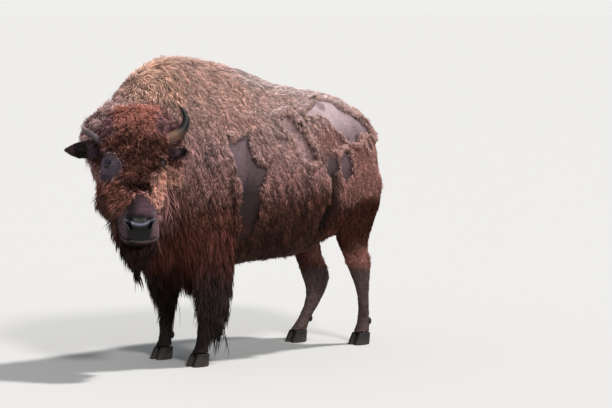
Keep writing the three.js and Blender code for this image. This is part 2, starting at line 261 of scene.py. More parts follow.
class Shader(Nodes):
    def __init__(self, name, **constants):
        self.material = bpy.data.materials.new(name)
        self.material.use_nodes = True
        super().__init__(self.material.node_tree)
        self.surface = self.tree.nodes["Principled BSDF"]
        for socket, value in constants.items():
            self.surface.inputs[socket.replace("_", " ")].default_value = value

    def place(self, scale=(1, 1, 1)):
        where = self.node("ShaderNodeTexCoord", None, out="Object")
        return self.node("ShaderNodeMapping", None, Vector=where, Scale=scale)

    def grain(self, scale, detail=3, stretch=(1, 1, 1)):  # 0 to 1
        return self.node("ShaderNodeTexNoise", None, Vector=self.place(stretch), Scale=scale, Detail=detail)

    def painted(self, name, out="Color"):
        return self.node("ShaderNodeAttribute", {"attribute_name": name}, out=out)

    def tinted(self, colour, amount):  # a colour made lighter or darker by a value round 1
        return self.mixed(1.0, colour, amount, "MULTIPLY")

    def ink(self, base=None, roughness=None, height=None, depth=1 * mm, strength=1.0):
        if base is not None:
            self.feed(self.surface.inputs["Base Color"], base)
        if roughness is not None:
            self.feed(self.surface.inputs["Roughness"], roughness)
        if height is not None:
            bump = self.node("ShaderNodeBump", None, Strength=strength, Distance=depth, Height=height)
            self.feed(self.surface.inputs["Normal"], bump)
        return self.material


def hairMaterial(name, shine, sheen):
    shader = Shader(name, Roughness=0.62, Specular_IOR_Level=shine, Sheen_Weight=sheen, Sheen_Roughness=0.45,
                    Sheen_Tint=(0.85, 0.70, 0.66, 1))
    fine = shader.grain(260, 2)
    return shader.ink(shader.tinted(shader.painted("tint"), 0.5 + 1.0 * fine))


def hideMaterial():
    shader = Shader("hide", Specular_IOR_Level=0.2)
    streaks = shader.grain(420, 3, (1, 1, 0.28))
    mottle = shader.grain(38, 3)
    wet = shader.painted("wet", "Fac")
    pebbles = shader.node("ShaderNodeTexVoronoi", None, Vector=shader.place(), Scale=330)
    colour = shader.tinted(shader.painted("tint"), 0.55 + 0.5 * streaks + 0.4 * mottle)
    height = streaks * (1 - wet) + pebbles * wet * 0.35
    return shader.ink(colour, 0.72 - 0.48 * wet, height, 1.6 * mm)


def eyeMaterial():
    shader = Shader("eye", Roughness=0.07, Specular_IOR_Level=0.25)
    return shader.ink(shader.tinted(shader.painted("tint"), 0.8 + 0.4 * shader.grain(700, 2)))


def hornMaterial(name, roughness):
    shader = Shader(name, Specular_IOR_Level=0.3)
    streaks = shader.grain(150, 4)
    fine = shader.grain(520, 2)
    colour = shader.tinted(shader.painted("tint"), 0.55 + 0.9 * streaks)
    return shader.ink(colour, roughness + 0.25 * streaks, 0.6 * streaks + 0.4 * fine, 1.2 * mm)


hairs = {"wool": hairMaterial("wool", 0.07, 0.04), "dark_hair": hairMaterial("dark_hair", 0.06, 0.01)}
print("materials ready")


# Colours, as the light shows them on a plain surface; some entries are painted light or shade, as marked.
palette = {
    "bleached": (0.920, 0.550, 0.450),
    "upper": (0.810, 0.450, 0.405),
    "middle": (0.375, 0.178, 0.154),
    "lower": (0.098, 0.035, 0.025),
    "under": (0.045, 0.0150, 0.0100),
    "black": (0.0180, 0.0110, 0.0095),
    "chestnut": (0.480, 0.215, 0.175),
    "thigh": (0.066, 0.018, 0.010),
    "shin": (0.132, 0.086, 0.080),
    "mop": (0.084, 0.034, 0.025),
    "crown": (0.420, 0.175, 0.135),
    # painted shade under the forehead's wool
    "shadeUnderFringe": (0.017, 0.0065, 0.0045),
    # the left cheek's tan wool, with painted sunlight
    "cheek": (0.900, 0.500, 0.390),
    "mane": (0.200, 0.097, 0.086),
    "face": (0.105, 0.060, 0.071),
    "eyeRim": (0.210, 0.155, 0.195),
    "nose": (0.0060, 0.0052, 0.0046),
    "noseGleam": (0.175, 0.172, 0.235),
    "nape": (0.180, 0.092, 0.094),
    "worn": (0.430, 0.275, 0.265),
    "sunlitTop": (0.950, 0.700, 0.670),
    # painted highlight on the lower lip
    "lip": (0.115, 0.120, 0.095),
    "slatePale": (0.450, 0.340, 0.358),
    "slate": (0.190, 0.128, 0.146),
    # painted sunlight for the top of the back
    "slateDark": (0.042, 0.024, 0.025),
    "edge": (0.740, 0.530, 0.480),
    "crest": (0.950, 0.540, 0.380),
    "ear": (0.056, 0.029, 0.037),
    "iris": (0.030, 0.013, 0.008),
    "eyeWhite": (0.022, 0.015, 0.014),
    "pupil": (0.004, 0.006, 0.011),
    "eyeGleam": (0.090, 0.105, 0.190),
    "hoofTop": (0.014, 0.011, 0.010),
    "hoofSole": (0.050, 0.040, 0.033),
}
palette = {name: np.array(value) for name, value in palette.items()}


# The shed patches, on the body unrolled round its long axis: metres back, degrees down from the spine.
unrolled = {"middle": 0.95, "radius": 0.32}
patches = {
    "left": {
        "behindShoulder": [(-0.22, 46), (-0.22, 60), (-0.20, 70), (-0.19, 88), (-0.165, 95), (-0.165, 107), (-0.175, 120),
                           (-0.13, 138), (-0.12, 150), (-0.04, 146), (-0.03, 124), (-0.03, 107), (-0.01, 93),
                           (0.01, 80), (-0.035, 77), (-0.065, 70), (-0.08, 57), (-0.075, 45), (-0.15, 49)],
        "flank": [(0.11, 35), (0.15, 43), (0.175, 50), (0.20, 54), (0.205, 60), (0.20, 68), (0.225, 76), (0.28, 80),
                  (0.325, 77), (0.30, 66), (0.285, 58), (0.275, 50), (0.25, 43), (0.23, 37), (0.20, 33)],
        "hip": [(0.30, 35), (0.385, 28), (0.52, 16), (0.60, 15), (0.615, 23), (0.665, 27), (0.72, 32), (0.79, 36),
                (0.84, 48), (0.74, 50), (0.68, 53), (0.64, 62), (0.59, 63), (0.55, 60), (0.535, 54), (0.49, 46),
                (0.46, 39), (0.43, 34), (0.35, 38)],
        "hipSpot": [(0.71, 55), (0.77, 54), (0.785, 69), (0.71, 69)],
        "thigh": [(0.50, 70), (0.54, 69), (0.575, 72), (0.59, 81), (0.585, 93), (0.545, 99), (0.52, 103), (0.50, 97),
                  (0.49, 88), (0.48, 79)],
        "thighFront": [(0.40, 72), (0.445, 72), (0.475, 78), (0.48, 86), (0.445, 94), (0.41, 98), (0.405, 111),
                       (0.385, 113), (0.38, 97), (0.386, 84)],
    },
    "right": {
        "behindShoulder": [(-0.20, 52), (-0.21, 72), (-0.17, 90), (-0.18, 110), (-0.14, 132), (-0.06, 136), (-0.02, 112),
                           (0.03, 92), (-0.01, 78), (-0.07, 68), (-0.09, 50)],
        "flank": [(0.17, 40), (0.20, 52), (0.21, 64), (0.26, 74), (0.32, 80), (0.29, 66), (0.28, 54), (0.24, 42)],
        "hip": [(0.36, 30), (0.50, 18), (0.60, 20), (0.70, 32), (0.78, 44), (0.74, 54), (0.66, 58), (0.62, 66), (0.57, 58),
                (0.52, 48), (0.46, 42)],
        "thigh": [(0.47, 74), (0.53, 70), (0.56, 80), (0.55, 94), (0.50, 100), (0.48, 88)],
    },
}
hems = {  # torn edges of the upper fleece, lying over the wool below
    "saddle": [(0.184, -0.146, 1.306), (0.209, -0.106, 1.252), (0.209, -0.050, 1.268), (0.235, -0.011, 1.196),
               (0.255, 0.026, 1.148), (0.250, 0.086, 1.177), (0.262, 0.123, 1.150), (0.265, 0.200, 1.158),
               (0.283, 0.208, 1.111)],
    "rib": [(0.234, -0.076, 1.181), (0.253, -0.070, 1.123), (0.274, -0.055, 1.041), (0.284, 0.000, 1.015),
            (0.281, 0.025, 1.061)],
    "shoulder": [(0.234, -0.350, 1.112), (0.245, -0.329, 1.053), (0.251, -0.320, 0.995)],
    "elbow": [(0.239, -0.386, 0.951), (0.240, -0.372, 0.880), (0.218, -0.384, 0.786)],
    "curtain": [(0.216, -0.255, 1.201), (0.252, -0.232, 1.061), (0.270, -0.200, 0.941), (0.266, -0.185, 0.846),
                (0.254, -0.185, 0.775), (0.226, -0.140, 0.686)],
    "hip": [(0.234, 0.228, 1.237), (0.233, 0.325, 1.238), (0.259, 0.299, 1.189), (0.300, 0.301, 1.083),
            (0.315, 0.340, 1.022), (0.322, 0.367, 0.973), (0.325, 0.429, 0.927), (0.317, 0.514, 0.867)],
    "loin": [(0.149, 0.418, 1.330), (0.166, 0.468, 1.305), (0.175, 0.501, 1.286)],
    "rightShoulder": [(-0.230, -0.300, 1.160), (-0.262, -0.260, 1.020), (-0.270, -0.220, 0.880)],
    "rightBack": [(-0.200, -0.050, 1.290), (-0.245, 0.020, 1.180), (-0.262, 0.110, 1.150), (-0.255, 0.190, 1.190)],
}


def insideChain(points, chain):  # how far inside a chain of points with radii, negative outside
    best = np.full(len(points), -9.0)
    for start, end in zip(chain, chain[1:]):
        a, b = np.array(start[:3]), np.array(end[:3])
        t = np.clip((points - a) @ (b - a) / ((b - a) @ (b - a)), 0, 1)
        away = np.linalg.norm(points - (a + t[:, None] * (b - a)), axis=1)
        best = np.maximum(best, blend(start[3], end[3], t) - away)
    return best


def nearLine(points, line):  # metres to the nearest point of a line through points
    return -insideChain(points, [(*spot, 0.0) for spot in line])


def hem(points):  # metres to the nearest torn edge
    wobble = np.stack([cloud(points, 0.05, seed) for seed in (71, 72, 73)], 1)
    return np.min([nearLine(points + 0.012 * wobble, line) for line in hems.values()], axis=0)


def insideOutline(flat, outline):  # metres inside a closed outline on the unrolled body, negative outside
    corners = np.array([(back, math.radians(turn) * unrolled["radius"]) for back, turn in outline])
    best = np.full(len(flat), 9.0)
    within = np.zeros(len(flat), bool)
    for a, b in zip(corners, np.roll(corners, -1, axis=0)):
        t = np.clip((flat - a) @ (b - a) / ((b - a) @ (b - a)), 0, 1)
        best = np.minimum(best, np.linalg.norm(flat - a - t[:, None] * (b - a), axis=1))
        rises = (flat[:, 1] < a[1]) != (flat[:, 1] < b[1])
        crossing = a[0] + (flat[:, 1] - a[1]) * (b[0] - a[0]) / (b[1] - a[1] if b[1] != a[1] else 1)
        within ^= rises & (flat[:, 0] < crossing)
    return np.where(within, best, -best)


def shed(points):  # metres inside the nearest patch edge, negative in the wool
    x, y, z = points.T
    flat = np.stack([y, np.arctan2(np.abs(x), z - unrolled["middle"]) * unrolled["radius"]], 1)
    flat += 0.008 * np.stack([cloud(points, 0.04, 5), cloud(points, 0.04, 6)], 1)
    best = np.full(len(points), -9.0)
    for side, half in (("left", x > 0), ("right", x <= 0)):
        for outline in patches[side].values():
            best[half] = np.maximum(best[half], insideOutline(flat[half], outline))
    return best + 0.006 * cloud(points, 0.022, 4) + 0.003 * cloud(points, 0.009, 7)


# The skin: every flesh solid joined, smoothed and drawn in by the coat's depth.
sides = ("left", "right")
flesh = {  # the solids of each region, and how deep the coat lies over the skin there
    "barrel": (["barrel"], 13), "shoulders": (["shoulders"], 16), "haunches": (["haunches"], 10),
    "neck": (["neck"], 20), "head": (["head", "eye_left", "eye_right"], 3), "jaw": (["jaw"], 4),
    "foreUpper": ([f"foreleg_{side}_upper" for side in sides], 12),
    "foreLower": ([f"foreleg_{side}_lower" for side in sides], 4),
    "hindUpper": ([f"hindleg_{side}_upper" for side in sides], 8),
    "hindLower": ([f"hindleg_{side}_lower" for side in sides], 3.5),
    "ear": (["ear_left", "ear_right"], 3.5), "tail": (["tail"], 4),
    "beard": (["beard"], 30), "chaps": (["chaps_left", "chaps_right"], 26),
}
regions = list(flesh)
skinShape = {"overlap": 1.4, "voxel": 9.5, "rounds": 26, "mostFaces": 190000}

bm = bmesh.new()
owner = []
for number, (names, depth) in enumerate(flesh.values()):
    for name in names:
        bm.from_mesh(nodes[name].data)
        owner += [number] * (len(bm.faces) - len(owner))
solids = BVHTree.FromBMesh(bm)
bmesh.ops.remove_doubles(bm, verts=bm.verts, dist=weld)
bm.normal_update()
for vert in bm.verts:
    vert.co += vert.normal * skinShape["overlap"] * mm
skin = addObject("skin", meshFrom(bm, "skin"))
skinMesh = joinedShell(skin, skinShape["voxel"])
setCoords(skinMesh, Neighbours(skinMesh).relax(coordsOf(skinMesh), skinShape["rounds"]))
print("skin joined", len(skinMesh.vertices), "vertices")

# Finer faces where the form is fine: the face, then the eyes, nose and mouth.
bm = bmesh.new()
bm.from_mesh(skinMesh)
for level in range(3):
    local = inHead(np.array([vert.co for vert in bm.verts]))
    across, out, down = local.T
    front = (down > -70) & (out > -120) & (down < 430) & (np.abs(across) < 230)
    spots = np.array([vert.co for vert in bm.verts])
    if level == 0:
        front |= (np.abs(shed(spots) + 0.006) < 0.022) | (hem(spots) < 0.024)
    if level > 0:
        eye = np.hypot(np.abs(across) - 128, down) < (74 if level == 1 else 46)
        mouth = (down > (195 if level == 1 else 262)) & (out > -110)
        front &= eye & (out > -70) | mouth
    bmesh.ops.subdivide_edges(
        bm, edges=[e for e in bm.edges if front[e.verts[0].index] and front[e.verts[1].index]],
        cuts=1, use_grid_fill=True)
    bm.verts.index_update()
bmesh.ops.triangulate(bm, faces=bm.faces)
bm.normal_update()
bm.to_mesh(skinMesh)
bm.free()
around = Neighbours(skinMesh)
coords = coordsOf(skinMesh)
local = inHead(coords)
headNear = ramp(-260, -120, local[:, 1]) * ramp(-130, -60, local[:, 2]) * ramp(300, 220, np.abs(local[:, 0]))
coords = blendedTowards(coords, around.relax(coords, 10), headNear)

nearest = [solids.find_nearest(Vector(point)) for point in coords]
label = np.array([owner[hit[2]] for hit in nearest])
part = around.relax(np.eye(len(regions))[label], 16, hold=False)
print("skin finer", len(coords), "vertices,", len(skinMesh.polygons), "faces")


def weightOf(part, *names):
    return sum(part[:, regions.index(name)] for name in names)


# Where the long wool of the head grows, in the head's axes.
headWool = {"fringe": 112, "eyePatch": (126, 4, 50, 76), "leftEye": (126, 4, 18, 20)}


def headZones(points, part):  # shares of mop, cheek wool, bare face and throat on the head
    across, out, down = inHead(points).T
    wide = np.abs(across)
    on = weightOf(part, "head", "jaw")
    wobble = 12 * cloud(points, 0.035, 8)
    x, z, halfWide, halfHigh = headWool["eyePatch"]
    right = ramp(1.12, 0.92, np.hypot((-across - x) / halfWide, (down - z) / halfHigh) + 0.008 * wobble)
    right = right * ramp(-10, 10, down + 78 - (160 - wide) * 1.1 + 0.6 * wobble) * ramp(-95, -60, out)
    x, z, halfWide, halfHigh = headWool["leftEye"]
    left = ramp(1.15, 0.85, np.hypot((across - x) / halfWide, (down - z) / halfHigh) + 0.008 * wobble)
    bridgeHalf = np.interp(down, [160, 190, 222, 250], [20, 30, 54, 96])
    bridge = ramp(166, 184, down + wobble) * ramp(bridgeHalf + 10, bridgeHalf - 6, np.abs(across - 9) + 0.6 * wobble)
    muzzleTop = np.where(across > 0, 266, 244)
    muzzle = ramp(muzzleTop - 12, muzzleTop + 10, down + wobble + 0.22 * np.minimum(out, 0))
    bare = np.maximum.reduce([right * (across < 0), left * (across > 0), bridge * ramp(-20, 0, out), muzzle])
    fringe = np.interp(wide, [0, 60, 110, 160], [headWool["fringe"] + 55, headWool["fringe"] + 42, 20, -30])
    mop = (1 - bare) * ramp(18, -18, down + wobble - fringe)
    cheek = np.clip(1 - bare - mop, 0, 1)
    throat = np.clip(1 - mop, 0, 1) * ramp(-70, -125, out) * ramp(40, 90, down)
    bare = bare * (1 - throat)
    cheek = cheek * (1 - throat)
    return on * mop, on * cheek, on * bare, on * throat


depth = sum(weightOf(part, name) * flesh[name][1] for name in regions)
mop, cheek, bare, throat = headZones(coords, part)
depth += mop * 34 + cheek * 18 + throat * 20
setCoords(skinMesh, coords)
normals = around.relax(normalsOf(skinMesh), 6, hold=False)
coords = coords - unit(normals) * (around.relax(depth[:, None], 6, hold=False) + skinShape["overlap"]) * mm
trunk = ramp(0.3, 0.8, around.relax(weightOf(part, "barrel", "shoulders", "haunches", "neck")[:, None], 12, hold=False))
smooth = around.relax(coords, 70, hold=False)  # no facet of the solids may show in a bare patch
coords = blendedTowards(around.relax(coords, 8), around.relax(coords, 2), headNear)
coords = blend(coords, smooth + 3 * mm * normals, trunk * (1 - headNear[:, None]))

# The fleece's felt: torn edges stand up, shed patches lie lower; the flank folds behind the belly.
fleece = {"lip": 18, "lipWidth": 10, "step": 13, "hem": 22, "hemWidth": 11, "mats": 7, "locks": 3}
foldLine = {"heights": (0.56, 0.65, 0.73, 0.81, 0.89, 0.99), "backs": (0.335, 0.352, 0.363, 0.376, 0.381, 0.374),
            "deep": 40, "belly": 12}


def streak(points, normals, seed, across=0.0075, along=0.055):  # smooth noise drawn out along the lie of the wool
    x, y, z = points.T
    side = np.stack([(0.93 * y + 0.37 * z) / across, (0.93 * z - 0.37 * y) / along, x / 0.08], 1)
    back = np.stack([x / across, y / along, z / 0.08], 1)
    upright = ramp(0.55, 0.85, normals[:, 2])
    return blend(cloud(side, 1.0, seed), cloud(back, 1.0, seed + 1), upright)


def shapeTrunk(points, outwards):
    trunk = weightOf(part, "barrel", "shoulders", "haunches")
    edge = shed(points)
    lump = (1 + 0.5 * cloud(points, 0.03, 74)) * ramp(-0.45, 0.35, cloud(points, 0.10, 75))
    lip = lump * fleece["lip"] * np.exp(-((edge + 0.012) / (fleece["lipWidth"] * mm)) ** 2)
    torn = hem(points)
    push = lip - fleece["step"] * ramp(-0.003, 0.005, edge) + lump * fleece["hem"] * np.exp(-(torn / (fleece["hemWidth"] * mm)) ** 2)
    push = push * trunk * ramp(0.60, 0.74, points[:, 2])
    matted = ramp(0.0, -0.012, edge) * weightOf(part, "barrel", "shoulders", "haunches", "neck") * ramp(0.60, 0.80, points[:, 2])
    push += matted * (fleece["mats"] * streak(points, outwards, 83, 0.05, 0.20) + fleece["locks"] * streak(points, outwards, 85, 0.022, 0.09))
    x, y, z = points.T
    behind = y - np.interp(z, foldLine["heights"], foldLine["backs"])
    level = ramp(0.56, 0.66, z) * ramp(1.02, 0.86, z) * weightOf(part, "barrel", "haunches", "hindUpper")
    level = level * ramp(0.10, 0.2, np.abs(x))
    push += level * foldLine["belly"] * ramp(-0.16, -0.03, behind) * ramp(0.006, -0.010, behind)
    push -= level * foldLine["deep"] * ramp(-0.004, 0.020, behind) * ramp(0.15, 0.03, behind)
    return points + outwards * (push * mm)[:, None]


setCoords(skinMesh, coords)
outwards = unit(around.relax(normalsOf(skinMesh), 6, hold=False))
coords = shapeTrunk(coords, outwards)

# The face: lids, brow, nostrils, nose pad, mouth.
eyeShape = {"centre": (130, -8, 0), "radius": 21, "halfLength": 68, "halfHeight": 50, "lid": 2.6,
            "facing": (0.82, 0.56, -0.04), "tilt": 12, "leftOpening": 0.7}
nostrilShape = {"centre": (51, 326), "size": (30, 10), "depth": 20, "tilt": 122}
mouthShape = {"corner": (-68, 200), "slope": 16.5, "depth": 7, "wide": 5, "lip": 3}
noseShape = {"heights": (280, 300, 350, 396), "halves": (52, 74, 58, 46)}


def eyeAxes(side):  # centre, gaze, the eye's long way and its short way, in the head's axes
    centre = np.array([side, 1.0, 1.0]) * eyeShape["centre"]
    gaze = unit(np.array([side, 1.0, 1.0]) * eyeShape["facing"])
    up = np.array([0, 0, -1.0])
    long = unit(np.cross(gaze, up))
    turn = math.radians(eyeShape["tilt"]) * side
    up = unit(np.cross(long, gaze))
    return centre, gaze, long * math.cos(turn) + up * math.sin(turn), up * math.cos(turn) - long * math.sin(turn)


def shapeEyes(local):
    for side in (1, -1):
        centre, gaze, long, short = eyeAxes(side)
        ray = local - centre
        away = np.linalg.norm(ray, axis=1)
        way = unit(ray)
        front = way @ gaze
        narrow = 1.0 if side < 0 else eyeShape["leftOpening"]  # half shut under its wool
        a = np.degrees(np.arctan2(way @ long, front)) / (eyeShape["halfLength"] * narrow)
        b = np.degrees(np.arctan2(way @ short, front)) / (eyeShape["halfHeight"] * narrow)
        opening = 1 - np.sqrt(a * a * 0.92 + b * b) * (1 + 0.10 * np.abs(a))  # 1 in the middle, 0 on the rim
        near = ramp(-0.55, 0.05, opening) * ramp(0.1, 0.35, front) * ramp(70, 44, away)
        rim = eyeShape["radius"] + eyeShape["lid"] * np.exp(-((opening + 0.10) / 0.13) ** 2) + 1.0
        wanted = np.where(opening > -0.02, blend(rim, eyeShape["radius"] - 6, ramp(-0.02, 0.10, opening)), rim)
        fold = 2.4 * np.exp(-((opening + 0.62) / 0.12) ** 2) - 2.2 * np.exp(-((opening + 0.42) / 0.09) ** 2)
        fold += 1.2 * np.exp(-((opening + 1.02) / 0.12) ** 2)
        fold *= ramp(0.0, 0.3, front) * ramp(80, 50, away)
        local = local + way * ((wanted - away) * near + fold)[:, None]
    return local


def noseMask(local):
    across, out, down = local.T
    wide = np.abs(across)
    half = np.interp(down, noseShape["heights"], noseShape["halves"])
    return ramp(288, 304, down + 0.0022 * wide ** 2) * ramp(half + 6, half - 6, wide) * ramp(-3, 3, out - lineOut(down) - 6)


def noseRim(local):  # the wet ridge over the nostrils, which dips in the middle
    across, out, down = local.T
    return np.exp(-((down - 333 + 0.0060 * across ** 2) / 7) ** 2) * ramp(80, 68, np.abs(across)) * ramp(-20, 0, out)


def lineOut(down):  # how far out the line of the mouth lies at a height on the face
    return mouthShape["corner"][0] + (down - mouthShape["corner"][1]) * math.tan(math.radians(mouthShape["slope"]))


def nostrilReach(local, side):  # 1 on the edge of a comma-shaped nostril
    x, z = side * local[:, 0] - nostrilShape["centre"][0], local[:, 2] - nostrilShape["centre"][1]
    turn = math.radians(nostrilShape["tilt"])
    along, over = x * math.cos(turn) + z * math.sin(turn), z * math.cos(turn) - x * math.sin(turn)
    return np.hypot(along / nostrilShape["size"][0], (over + 0.010 * along ** 2) / nostrilShape["size"][1])


def insideNostril(local, side):
    return ramp(1.05, 0.55, nostrilReach(local, side)) * ramp(-25, -5, local[:, 1])


def shapeMuzzle(local):
    across, out, down = local.T
    wide = np.abs(across)
    ahead = unit(np.stack([across * 0.9, out + 45, (down - 300) * 0.75], 1))  # outwards, roughly
    height = (out - lineOut(down)) * math.cos(math.radians(mouthShape["slope"]))
    along = ramp(mouthShape["corner"][1] - 6, mouthShape["corner"][1] + 30, down)
    groove = -mouthShape["depth"] * np.exp(-(height / mouthShape["wide"]) ** 2)
    lips = mouthShape["lip"] * (np.exp(-((height - 11) / 7) ** 2) + 1.3 * np.exp(-((height + 12) / 8) ** 2))
    push = along * (groove + lips)
    for side in (1, -1):
        far = nostrilReach(local, side)
        push += ramp(-25, -5, out) * (3.0 * np.exp(-((far - 1.35) / 0.3) ** 2)) - nostrilShape["depth"] * insideNostril(local, side)
    nose = noseMask(local)
    push += 1.2 * nose - 1.8 * np.exp(-(across / 3.0) ** 2) * nose * ramp(335, 350, down)
    push += 3.6 * noseRim(local) - 4.0 * np.exp(-((down - 308) / 16) ** 2 - (across / 34) ** 2) * ramp(0, 20, out)
    bridge = ramp(120, 150, down) * ramp(262, 235, down) * ramp(10, 30, out) * ramp(90, 70, wide)
    push += bridge * 0.6 * np.sin(down * 0.30 + 3.5 * cloud(local, 60, 2))  # low folds over the nose
    return local + ahead * push[:, None]


local = shapeMuzzle(shapeEyes(inHead(coords)))
coords = fromHead(local)
setCoords(skinMesh, coords)
print("face shaped")

# Fewer faces where the skin is plain.
finer = KDTree(len(coords))
for number, point in enumerate(coords):
    finer.insert(point, number)
finer.balance()
fewer = skin.modifiers.new("fewer", "DECIMATE")
fewer.ratio = min(1.0, skinShape["mostFaces"] / len(skinMesh.polygons))
skinMesh = asMesh(skin)
around = Neighbours(skinMesh)
coords = coordsOf(skinMesh)
part = part[np.array([finer.find(point)[1] for point in coords])]
smoothShade(skinMesh)
normals = normalsOf(skinMesh)
broad = unit(around.relax(normals, 8, hold=False))  # the body's own slope, without its small folds

# An unwrap of the skin's own shape.
bpy.context.view_layer.objects.active = skin
skin.select_set(True)
bpy.ops.object.mode_set(mode="EDIT")
bpy.ops.mesh.select_all(action="SELECT")
bpy.ops.uv.smart_project(angle_limit=math.radians(66), island_margin=0.002)
bpy.ops.object.mode_set(mode="OBJECT")
skin.select_set(False)
skinMesh = skin.data
skinMesh.uv_layers[0].name = "OFBake"
skinMesh.uv_layers["OFBake"].active_render = True
triangles = np.zeros(len(skinMesh.polygons) * 3, np.int32)
skinMesh.polygons.foreach_get("vertices", triangles)
triangles = triangles.reshape(-1, 3)
unwrap = np.zeros(len(triangles) * 6, np.float32)
skinMesh.uv_layers["OFBake"].data.foreach_get("uv", unwrap)
unwrap = unwrap.reshape(-1, 3, 2)
print("skin unwrapped")


# What the coat is like at a point.
tones = [(0.40, "under"), (0.62, "under"), (0.78, "lower"), (0.94, "middle"), (1.11, "upper"), (1.40, "bleached")]
earMiddle = abs(inHead(boxMiddle("ear_right"))[0])


def faceTint(points, normals=None, part=None):  # the bare face: eye patch, bridge, muzzle and chin
    across, out, down = inHead(points).T
    wide = np.abs(across)
    # Darker on the face's right, lighter on its left: painted shade and painted light over the face's hair colour.
    colour = blendedTowards(palette["face"] * 0.38, palette["face"] * [2.0, 1.85, 1.95], ramp(-36, 10, across))
    # The muzzle's sides lighter and a little bluer, most on the left: painted sheen over the face's hair colour.
    muzzle = ramp(225, 262, down) * ramp(50, 75, wide)
    colour = blendedTowards(colour, palette["face"] * [1.0, 1.08, 1.06] * blend(1.7, 2.9, ramp(-20, 60, across))[:, None], muzzle)
    # Painted shade in the hollow above the nose.
    hollow = np.exp(-((down - 300) / 22) ** 2 - (across / 48) ** 2) * ramp(0, 20, out)
    colour = blendedTowards(colour, palette["black"] * 0.4, np.clip(1.5 * hollow, 0, 1))
    patch = ramp(120, 80, down) * (across < 0)
    # The right eye's bare patch: lighter above the eye, darker below it, and darkest at its top edge, which is painted
    # shadow under the brow.
    rim = palette["eyeRim"] * blend(1.5, 0.85, ramp(0, 40, down))[:, None] * blend(0.4, 1.0, ramp(-52, -30, down))[:, None]
    colour = blendedTowards(colour, rim, patch)
    # On the head's left the bare skin about the eye is painted black: painted shade in the eye's hollow under its wool.
    colour = blendedTowards(colour, palette["black"], ramp(120, 80, down) * (across > 0))
    chin = ramp(-12, -22, out - lineOut(down)) * ramp(300, 350, down)
    return blendedTowards(colour, palette["black"], chin)


